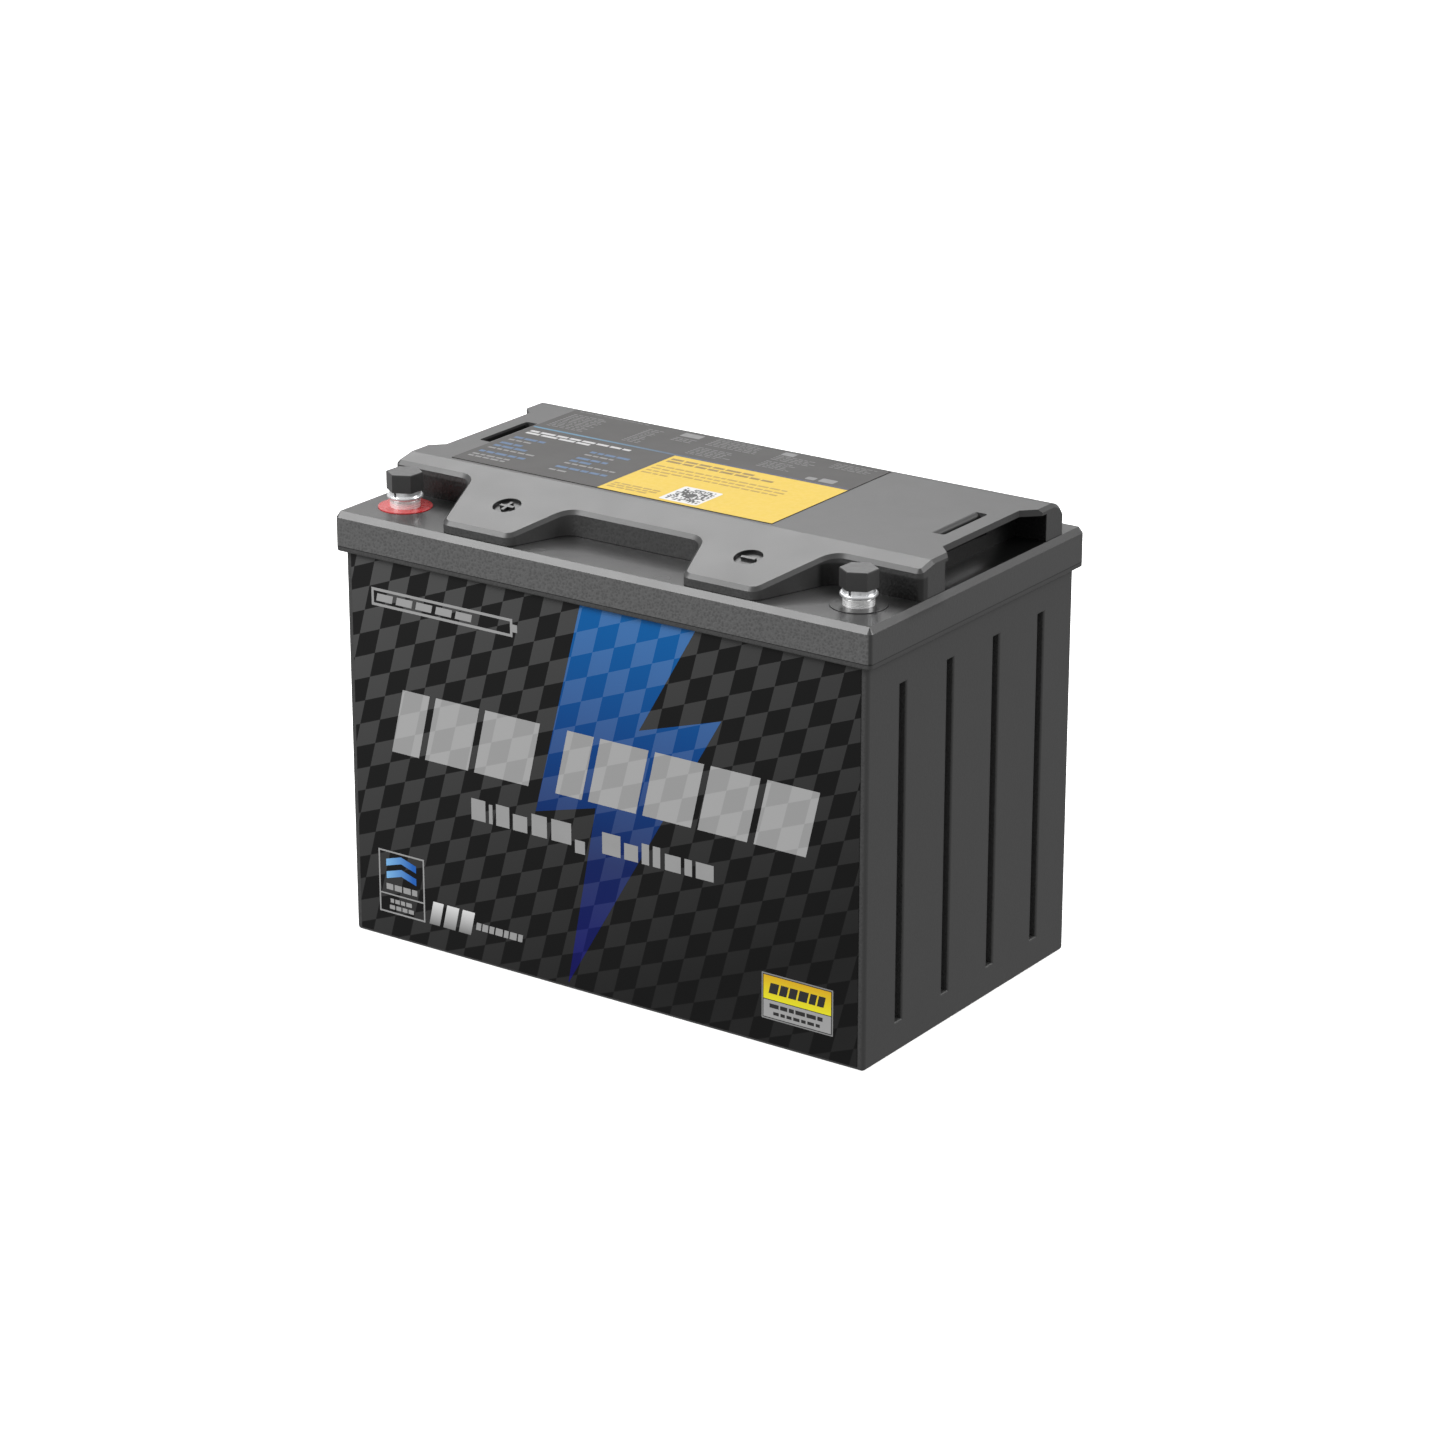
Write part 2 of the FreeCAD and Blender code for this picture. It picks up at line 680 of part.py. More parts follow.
# ---------------------------------------------------------------- terminals
wash_top = "(post_top + wash_thk)"
split_top = "(post_top + wash_thk + split_thk)"
seal_rings = []
lock_nuts = []
lug_screws = []
for who, side in SIDES.items():
    x = "%d * term_x" % side
    y = "-term_y"
    stem = rod(who + "_stem", x, y, "post_low", "floor_lvl + collar_lip + shoulder_gap", "post_rad")
    shoulder = rod(who + "_shoulder", x, y, "floor_lvl + collar_lip + shoulder_gap", "shoulder_top",
                   "shoulder_rad")
    neck = rod(who + "_neck", x, y, "floor_lvl", "post_top", "post_neck")
    key = rod(who + "_key", x, y, "key_low", "key_top", "post_key")
    tap = rod(who + "_tap", x, y, "%s - bolt_len - 3" % split_top, "post_top + 1", "bolt_rad + bolt_fit")
    lug_tap = rod(who + "_lug_tap", x, y, "post_low - 1", "post_low + lug_screw_in + 2",
                  "lug_screw_rad + 0.05")
    taps = fuse(who + "_post_taps", [tap, lug_tap])
    node(who + "_post", cut(who + "_post_cut", fuse(who + "_post_raw", [stem, key, shoulder, neck]), taps))
    disc = rod(who + "_disc", x, y, "floor_lvl - collar_thk", "floor_lvl + collar_lip", "collar_rad")
    sleeve = rod(who + "_sleeve", x, y, "sleeve_low", "floor_lvl - collar_thk + 0.5", "sleeve_rad")
    core = rod(who + "_core", x, y, "sleeve_low - 1", "floor_lvl + 2", "post_rad + 0.05")
    seat = rod(who + "_core_key", x, y, "key_low - 0.02", "key_top + 0.02", "post_key + 0.05")
    node(who + "_collar", cut(who + "_collar_cut", fuse(who + "_collar_raw", [disc, sleeve]),
                              fuse(who + "_collar_core", [core, seat])))
    ring = rod(who + "_seal", x, y, "floor_lvl - collar_thk - seal_thk", "floor_lvl - collar_thk",
               "collar_rad - 0.1")
    gap = rod(who + "_seal_gap", x, y, "floor_lvl - 5", "floor_lvl", "sleeve_rad + 0.1")
    seal_rings.append(cut(who + "_seal_ring", ring, gap))
    nut = hexagon(who + "_nut", x, y, "boss_low - nut_high", "boss_low", "nut_flat", 30.0)
    gap = rod(who + "_nut_gap", x, y, "boss_low - nut_high - 1", "boss_low + 1", "sleeve_rad + 0.05")
    lock_nuts.append(cut(who + "_nut_ring", nut, gap))
    head = hexagon(who + "_screw_head", x, y, "post_low - lug_thk - lug_screw_high", "post_low - lug_thk",
                   "lug_screw_flat")
    shank = rod(who + "_screw_shank", x, y, "post_low - lug_thk - 1", "post_low + lug_screw_in",
                "lug_screw_rad")
    lug_screws.append(fuse(who + "_screw", [head, shank]))
    flat = cut(who + "_washer", rod(who + "_washer_out", x, y, "post_top", wash_top, "wash_rad"),
               rod(who + "_washer_in", x, y, "post_top - 1", wash_top + " + 1", "bolt_rad + 0.2"))
    rims = lambda e: e.BoundBox.XLength > 15 and e.BoundBox.ZLength < 0.01
    node(who + "_flat_washer", dress("Fillet", who + "_washer_round", flat, [(rims, D.wash_round)]))
    split = rod(who + "_split_out", x, y, wash_top, split_top, "split_rad")
    split_in = rod(who + "_split_in", x, y, "post_top", split_top + " + 1", "bolt_rad + 0.1")
    slit = box(who + "_slit", x + " - 0.6", x + " + 0.6", "-term_y - 10", "-term_y - 2", "post_top",
               split_top + " + 1")
    node(who + "_spring_washer", cut(who + "_split_cut", split, fuse(who + "_split_gap", [split_in, slit])))
    head = hexagon(who + "_head", x, y, split_top, split_top + " + head_high", "head_flat", D.cap_turn)
    shank = rod(who + "_shank", x, y, "%s - bolt_len" % split_top, "%s + 1" % split_top, "bolt_rad")
    shank = dress("Chamfer", who + "_shank_tip", shank, [(lambda e: e.BoundBox.ZMax < 200, 1.0)])
    node(who + "_bolt", fuse(who + "_bolt_done", [head, shank]))
    shellcap = hexagon(who + "_cap_out", x, y, split_top + " + 0.05", "cap_top", "cap_flat", D.cap_turn)
    on_top = lambda e: e.BoundBox.ZMin > D.cap_top - 0.01
    shellcap = dress("Chamfer", who + "_cap_edge", shellcap, [(on_top, 0.3)])
    inner = hexagon(who + "_cap_in", x, y, split_top + " - 1", split_top + " + head_high + 0.02",
                    "head_flat + 0.04", D.cap_turn)
    node(who + "_bolt_cap", cut(who + "_cap_done", shellcap, inner))
node("collar_seals", fuse("seal_set", seal_rings))
node("collar_lock_nuts", fuse("lock_nut_set", lock_nuts))
node("post_lug_screws", fuse("lug_screw_set", lug_screws))

# ---------------------------------------------------------------- cells
CELL_X = [-1.5, -0.5, 0.5, 1.5]
cover_top = "(can_top + cover_thk)"
poles = {"positive": [], "negative": []}
vents = []
for i, k in enumerate(CELL_X, 1):
    x = "%s * pitch" % k
    can = slab("can%d" % i, "cell_thk", "cell_wid", "cell_low", "can_top - cell_low", x=x, radius="2")
    well = slab("well%d" % i, "cell_thk - 2 * can_wall", "cell_wid - 2 * can_wall", "cell_low + can_wall",
                "can_top - cell_low", x=x, radius="1.2")
    node("cell_%d_can" % i, cut("can_cut%d" % i, can, well))
    roll = slab("roll%d" % i, "cell_thk - 2 * can_wall - 0.8", "cell_wid - 2 * can_wall - 2",
                "cell_low + can_wall", "roll_top - cell_low - can_wall", x=x, radius="6")
    node("cell_%d_electrodes" % i, roll)
    cover = slab("cover%d" % i, "cell_thk", "cell_wid", "can_top", "cover_thk", x=x, radius="2")
    cuts = [rod("stem_hole%d%d" % (i, s), x, "%d * pole_y" % s, "can_top - 1", cover_top + " + 1",
                "stem_rad + 0.05") for s in (-1, 1)]
    cuts.append(rod("vent_hole%d" % i, x, ZERO, "can_top - 1", cover_top + " + 1", "vent_rad - 2"))
    cuts.append(rod("vent_seat%d" % i, x, ZERO, cover_top + " - 0.8", cover_top + " + 1", "vent_rad + 0.05"))
    node("cell_%d_cover" % i, cut("cover_cut%d" % i, cover, fuse("cover_holes%d" % i, cuts)))
    vents.append(rod("vent%d" % i, x, ZERO, cover_top + " - 0.8", cover_top + " - 0.2", "vent_rad"))
    # cells 1 and 3 have their positive pole at the front, cells 2 and 4 at the back
    front_is_plus = i in (1, 3)
    for kind in poles:
        s = -1 if (kind == "positive") == front_is_plus else 1
        y = "%d * pole_y" % s
        tag = "%s%d" % (kind, i)
        poles[kind].append(fuse("pole_" + tag, [
            rod("pole_stem_" + tag, x, y, "roll_top", cover_top + " + 1", "stem_rad"),
            rod("pole_disc_" + tag, x, y, cover_top, cover_top + " + pole_high", "pole_rad"),
            rod("pole_stud_" + tag, x, y, cover_top + " + 1", "stud_top", "stud_rad")]))
node("cell_positive_poles", fuse("positive_pole_set", poles["positive"]))
node("cell_negative_poles", fuse("negative_pole_set", poles["negative"]))
node("cell_vent_discs", fuse("vent_set", vents))

bar_low = "(can_top + cover_thk + pole_high)"
bar_top = "(can_top + cover_thk + pole_high + bar_thk)"
for i, (k, s) in enumerate(((-1, 1), (0, -1), (1, 1)), 1):
    x = "%d * pitch" % k
    y = "%d * pole_y" % s
    bar = slab("bar%d" % i, "pitch + bar_wid", "bar_wid", bar_low, "bar_thk", x=x, y=y,
               radius="bar_wid / 2 - 0.1")
    eyes = [rod("bar_eye%d%d" % (i, j), "%s + %s * pitch" % (x, j), y, bar_low + " - 1", bar_top + " + 1",
                "stud_rad + 0.2") for j in (-0.5, 0.5)]
    node("series_busbar_%d" % i, cut("bar_cut%d" % i, bar, fuse("bar_eyes%d" % i, eyes)))

nuts = []
for i, k in enumerate(CELL_X, 1):
    for s in (-1, 1):
        tag = "%d%s" % (i, "f" if s < 0 else "b")
        x = "%s * pitch" % k
        y = "%d * pole_y" % s
        ring = rod("nut_flange_" + tag, x, y, bar_top, bar_top + " + pole_nut_rim", "pole_nut_rad")
        top = hexagon("nut_hex_" + tag, x, y, bar_top + " + 1", bar_top + " + pole_nut_high", "pole_nut_flat")
        hole = rod("nut_hole_" + tag, x, y, bar_top + " - 1", bar_top + " + 8", "stud_rad + 0.05")
        nuts.append(cut("nut_" + tag, fuse("nut_raw_" + tag, [ring, top]), hole))
node("cell_pole_nuts", fuse("nut_set", nuts))

# ---------------------------------------------------------------- stack packing
gap = "(pitch - cell_thk) / 2"
sheets = [box("gap_sheet%d" % i, "%d * pitch - %s" % (k, gap), "%d * pitch + %s" % (k, gap),
              "-sheet_half", "sheet_half", "cell_low + 1", "can_top - 1") for i, k in enumerate((-1, 0, 1))]
node("cell_separators", fuse("sheet_set", sheets))
stack = "(2 * pitch - (pitch - cell_thk) / 2)"
for word, side in (("left", -1), ("right", 1)):
    lo, hi = mirrored(side, stack, "(%s + plate_end)" % stack)
    node(word + "_end_plate", box(word + "_plate", lo, hi, "-cell_wid / 2", "cell_wid / 2",
                                  "cell_low", "can_top"))
    lo, hi = mirrored(side, "(%s + plate_end + strap_thk)" % stack, "foam_out")
    node(word + "_end_foam", box(word + "_foam", lo, hi, "-foam_half", "foam_half",
                                 "cell_low", "can_top - 1"))
bands = []
BAND_Z = (30, 85)
for i, z in enumerate(BAND_Z):
    around = "2 * (%s + plate_end)" % stack
    outer = slab("band_out%d" % i, around + " + 2 * strap_thk", "cell_wid + 2 * strap_thk",
                 str(z), "strap_wid")
    inner = slab("band_in%d" % i, around, "cell_wid", "%d - 1" % z, "strap_wid + 2")
    bands.append(cut("band%d" % i, outer, inner))
node("pack_straps", fuse("band_set", bands))
node("base_pad", slab("pad", "pad_len - 2 * groove_back", "cell_wid", "base_thk",
                      "cell_low - base_thk", radius="2"))

# ---------------------------------------------------------------- protection board
tray = box("tray_plate", "-tray_lo", "tray_hi", "-tray_half", "tray_half", "tray_low", "tray_low + tray_thk")
# legs stand on the cell covers between the poles; the four fixings go through board and heatsink
LEGS = [(x, y) for x in (-76.5, 38) for y in (-30, 30)]
FIX = [(x, y) for x in (-64, 24) for y in (-60, 0)]
legs = [box("leg%d" % i, "%s - leg / 2" % x, "%s + leg / 2" % x, "%d - leg / 2" % y, "%d + leg / 2" % y,
            cover_top, "tray_low + 1") for i, (x, y) in enumerate(LEGS)]
pilot = [rod("pilot%d" % i, str(x), str(y), "tray_low + 0.5", "tray_low + tray_thk + 1",
             "screw_rad + 0.05")
         for i, (x, y) in enumerate(FIX)]
node("bms_tray", cut("tray_cut", fuse("tray_legs", [tray] + legs), fuse("pilots", pilot)))
board_top = "(board_low + board_thk)"
sink_low = "(board_low + board_thk + chip_thk)"
board = box("board_raw", "-board_left", "board_right", "-board_lo", "board_hi", "board_low", board_top)
pins = [rod("board_hole%d" % i, str(x), str(y), "board_low - 1", board_top + " + 1", "screw_pass")
        for i, (x, y) in enumerate(FIX)]
node("bms_board", cut("board_cut", board, fuse("board_holes", pins)))
CHIPS = [(x, y) for x in range(-50, 15, 12) for y in (-42, -18)]
chips = [box("chip%d" % i, "%d - chip_len / 2" % x, "%d + chip_len / 2" % x, "%d - chip_wid / 2" % y,
             "%d + chip_wid / 2" % y, board_top, sink_low) for i, (x, y) in enumerate(CHIPS)]
node("bms_transistors", fuse("chip_set", chips))
plate = box("sink_plate", "-sink_left", "sink_right", "-sink_lo", "sink_hi",
            sink_low, sink_low + " + sink_thk")
FIN_Y = range(-54, -5, 6)
fins = [box("fin%d" % i, "-sink_left", "sink_right", "%d - fin_thk / 2" % y, "%d + fin_thk / 2" % y,
            sink_low + " + 1", "sink_top") for i, y in enumerate(FIN_Y)]
pins = [rod("sink_hole%d" % i, str(x), str(y), sink_low + " - 1", "sink_top + 1", "screw_pass")
        for i, (x, y) in enumerate(FIX)]
node("bms_heatsink", cut("sink_cut", fuse("sink_raw", [plate] + fins), fuse("sink_holes", pins)))
spacers = []
screws = []
for i, (x, y) in enumerate(FIX):
    at = (str(x), str(y))
    bore = rod("spacer_in%d" % i, *at, "tray_low", "sink_top", "spacer_bore")
    below = rod("spacer_low%d" % i, *at, "tray_low + tray_thk", "board_low", "spacer_rad")
    above = rod("spacer_top%d" % i, *at, board_top, sink_low, "spacer_rad")
    spacers += [cut("spacer_a%d" % i, below, bore), cut("spacer_b%d" % i, above, bore)]
    screws.append(fuse("screw%d" % i, [
        rod("screw_shank%d" % i, *at, "tray_low + 0.6", sink_low + " + sink_thk + 0.5", "screw_rad"),
        rod("screw_head%d" % i, *at, sink_low + " + sink_thk", sink_low + " + sink_thk + screw_high",
            "screw_head")]))
node("bms_spacers", fuse("spacer_set", spacers))
node("bms_screws", fuse("screw_set", screws))
node("balance_plug", box("plug", "plug_left", "plug_right", "-plug_lo", "-plug_hi",
                         board_top, board_top + " + plug_high"))
node("top_foam", box("foam_top", "-board_left", "board_right", "top_foam_lo", "top_foam_hi",
                     "tray_low + tray_thk", under + " - 4"))

# ---------------------------------------------------------------- leads and their lugs
BAR_LOW = D.can_top + D.cover_thk + D.pole_high
BAR_TOP = BAR_LOW + D.bar_thk
LOW_AXIS = BAR_LOW + D.barrel_rad
HIGH_AXIS = D.post_low - D.barrel_rad
BOARD_AXIS = D.board_low + D.board_thk + D.cable_rad
XT, YT, PX, PY = D.term_x, D.term_y, 1.5 * D.pitch, D.pole_y
# barrels start this far from the eye, and the leads sit this deep in them
START = 9.0
SEATED = START + 8.0
# board pads for the two thick leads start here
PAD_X = 38.0
EYE_RAD = 3.2


def lug(name, x, y, low, axis_z, way):
    """Crimp lug: flat eye at (x, y) and a barrel that runs along way from it."""
    eye = Part.makeCylinder(D.lug_rad, D.lug_thk, Vector(x, y, low))
    barrel_at = Vector(x, y, axis_z) + way * START
    barrel = Part.makeCylinder(D.barrel_rad, D.barrel_len, barrel_at, way)
    across = Vector(-way.y, way.x, 0)
    corner = Vector(x, y, low) - across * D.barrel_rad
    wide = across * 2 * D.barrel_rad
    long = way * (START + 2)
    outline = Part.makePolygon([corner, corner + wide, corner + wide + long, corner + long, corner])
    neck = Part.Face(outline).extrude(Vector(0, 0, D.lug_thk))
    hole = Part.makeCylinder(EYE_RAD, D.lug_thk + 2, Vector(x, y, low - 1))
    bore = Part.makeCylinder(D.cable_rad + 0.05, D.barrel_len, barrel_at + way * 3, way)
    return eye.fuse([barrel, neck]).cut(hole.fuse(bore)).removeSplitter()


LUGS = [lug("a", -PX, -PY, BAR_LOW, LOW_AXIS, Vector(-1, 0, 0)),
        lug("b", PX, -PY, BAR_LOW, LOW_AXIS, Vector(0, 1, 0)),
        lug("c", -XT, -YT, D.post_low - D.lug_thk, HIGH_AXIS, Vector(0, 1, 0)),
        lug("d", XT, -YT, D.post_low - D.lug_thk, HIGH_AXIS, Vector(-1, 0, 0))]
node("cable_lugs", shape_node("lug_set", Part.makeCompound(LUGS)))
node("positive_cable", shape_node("lead_plus", tube(
    [(-PX - SEATED, -PY, LOW_AXIS), (-XT, -PY, LOW_AXIS), (-XT, -14, LOW_AXIS), (-XT, -14, HIGH_AXIS),
     (-XT, SEATED - YT, HIGH_AXIS)], D.plus_bend, D.cable_rad)))
node("negative_cable", shape_node("lead_minus", tube(
    [(PAD_X, -YT, BOARD_AXIS), (60, -YT, BOARD_AXIS), (84, -YT, HIGH_AXIS), (XT - SEATED, -YT, HIGH_AXIS)],
    D.minus_bend, D.cable_rad)))
node("pack_negative_cable", shape_node("lead_pack", tube(
    [(PX, SEATED - PY, LOW_AXIS), (PX, -19, LOW_AXIS), (PX - 6, 3, BOARD_AXIS), (PAD_X, 3, BOARD_AXIS)],
    D.pack_bend, D.cable_rad)))
BARREL_TOP = LOW_AXIS + D.barrel_rad
# each thin lead leaves the plug, drops beside the board, and runs at its own height to where it ends
ENDS = [(PX, -39.0, BARREL_TOP, 140.8), (D.pitch, PY, BAR_TOP, 134.4), (-D.pitch, PY, BAR_TOP, 136.0),
        (0.0, -PY, BAR_TOP, 137.6), (-94.0, -PY, BARREL_TOP, 139.2)]
PLUG_Z = 156.0
DROP_X = 66.0
FIRST_ROW = -53.0
ROW_STEP = 2.0
wires = []
for i, (x, y, z, run) in enumerate(ENDS):
    row = FIRST_ROW + ROW_STEP * i
    route = [(D.plug_right, row, PLUG_Z), (DROP_X, row, PLUG_Z), (DROP_X, row, run),
             (x, row, run), (x, y, run), (x, y, z)]
    wires.append(tube(route, D.wire_bend, D.wire_rad))
node("balance_leads", shape_node("wire_set", Part.makeCompound(wires)))

# ---------------------------------------------------------------- check and write
doc.recompute()
for obj in doc.Objects:
    bad = [s for s in obj.State if s in ("Invalid", "Error")]
    assert not bad, "%s %s" % (obj.Name, obj.State)
os.makedirs("parts", exist_ok=True)
for name, obj in nodes.items():
    shape = obj.Shape
    assert not shape.isNull() and shape.isValid(), name
    assert shape.Volume > 0 and len(shape.Solids) > 0, name
    shape.exportStep("parts/%s.step" % name)
    print("%-24s solids %d volume %.0f" % (name, len(shape.Solids), shape.Volume))
print("nodes", len(nodes))
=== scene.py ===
import bmesh
import bpy
import math
import random
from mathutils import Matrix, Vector


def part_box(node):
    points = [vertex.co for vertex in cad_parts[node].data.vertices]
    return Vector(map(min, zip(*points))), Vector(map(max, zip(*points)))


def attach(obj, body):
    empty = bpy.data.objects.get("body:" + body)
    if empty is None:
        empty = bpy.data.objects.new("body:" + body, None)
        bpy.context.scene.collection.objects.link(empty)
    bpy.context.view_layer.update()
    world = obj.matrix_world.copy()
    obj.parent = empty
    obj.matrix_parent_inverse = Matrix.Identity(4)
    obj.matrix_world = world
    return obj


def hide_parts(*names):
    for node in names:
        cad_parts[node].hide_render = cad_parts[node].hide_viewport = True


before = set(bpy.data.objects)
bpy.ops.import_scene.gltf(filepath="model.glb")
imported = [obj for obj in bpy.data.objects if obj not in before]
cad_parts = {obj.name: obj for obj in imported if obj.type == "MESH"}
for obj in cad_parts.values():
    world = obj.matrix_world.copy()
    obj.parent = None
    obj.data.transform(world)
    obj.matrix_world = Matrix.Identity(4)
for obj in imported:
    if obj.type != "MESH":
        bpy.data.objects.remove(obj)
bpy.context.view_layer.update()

# 12 V lithium iron phosphate battery. Everything is in metres in the CAD frame:
# origin at the centre of the base, -Y the labelled front, +X the negative terminal.
MM = 0.001
scene = bpy.context.scene

# ---------------------------------------------------------------- camera
AZIMUTH = math.radians(34.9755)
ELEVATION = math.radians(20.032)
CAMERA_AT = (1.08321, -1.53676, 0.79129)
SENSOR_MM = 36.0
LENS_MM = 110.114
camera_data = bpy.data.cameras.new("camera")
camera_data.sensor_width = SENSOR_MM
camera_data.lens = LENS_MM
camera = bpy.data.objects.new("camera", camera_data)
scene.collection.objects.link(camera)
camera.location = CAMERA_AT
back = Vector((math.sin(AZIMUTH) * math.cos(ELEVATION), -math.cos(AZIMUTH) * math.cos(ELEVATION),
               math.sin(ELEVATION)))
camera.rotation_mode = "QUATERNION"
camera.rotation_quaternion = (-back).to_track_quat("-Z", "Y")
scene.camera = camera

# ---------------------------------------------------------------- light
LAMP_TARGET = Vector((0.0, 0.0, 0.12))
# name, place, width and height, power in watts
LAMPS = [
    ("left_back", (-1.40, 1.47, 1.84), (1.6, 1.0), 25.0),
    ("left_front", (-1.40, -1.60, 1.70), (1.4, 1.0), 60.0),
    ("right_high", (1.5, 0.9, 1.25), (0.9, 0.9), 24.0),
]


def area_light(name, location, size, power):
    """Soft white lamp aimed at the battery."""
    data = bpy.data.lights.new(name, "AREA")
    data.shape = "RECTANGLE"
    data.size, data.size_y = size
    data.energy = power
    lamp = bpy.data.objects.new(name, data)
    scene.collection.objects.link(lamp)
    lamp.location = location
    lamp.rotation_mode = "QUATERNION"
    lamp.rotation_quaternion = (LAMP_TARGET - Vector(location)).to_track_quat("-Z", "Y")


for lamp in LAMPS:
    area_light(*lamp)

# white room light: SKY above the horizon, and below it what a pale floor would send up,
# brighter in front of the object than behind it
SKY = 0.67
FLOOR_FRONT = 0.45
FLOOR_BACK = 0.37
# level direction from front to back, and the heights between which the room blends into the floor
AWAY = (0.573, 0.819, 0.0)
HORIZON = (-0.10, 0.02)
world = bpy.data.worlds.new("studio")
scene.world = world
world.use_nodes = True
sky_nodes = world.node_tree.nodes
sky_links = world.node_tree.links
direction = sky_nodes.new("ShaderNodeTexCoord").outputs["Generated"]
split = sky_nodes.new("ShaderNodeSeparateXYZ")
sky_links.new(direction, split.inputs[0])
depth = sky_nodes.new("ShaderNodeVectorMath")
depth.operation = "DOT_PRODUCT"
depth.inputs[1].default_value = AWAY
sky_links.new(direction, depth.inputs[0])


def sky_ramp(value, low, high, to_low, to_high):
    """Ramp of a node output; the ends may be numbers or other node outputs."""
    node = sky_nodes.new("ShaderNodeMapRange")
    sockets = ("Value", "From Min", "From Max", "To Min", "To Max")
    for name, source in zip(sockets, (value, low, high, to_low, to_high)):
        if isinstance(source, float):
            node.inputs[name].default_value = source
        else:
            sky_links.new(source, node.inputs[name])
    return node.outputs["Result"]


below = sky_ramp(depth.outputs["Value"], -0.5, 0.5, FLOOR_FRONT, FLOOR_BACK)
room = sky_ramp(split.outputs["Z"], *HORIZON, below, SKY)
sky_links.new(room, sky_nodes["Background"].inputs["Color"])
scene.view_settings.view_transform = "Standard"


# ---------------------------------------------------------------- node helpers
def lin(r, g, b):
    """Linear colour from 8-bit display values."""
    out = []
    for v in (r, g, b):
        v /= 255.0
        out.append(v / 12.92 if v <= 0.04045 else ((v + 0.055) / 1.055) ** 2.4)
    return (*out, 1.0)


def grey(v):
    return lin(v, v, v)


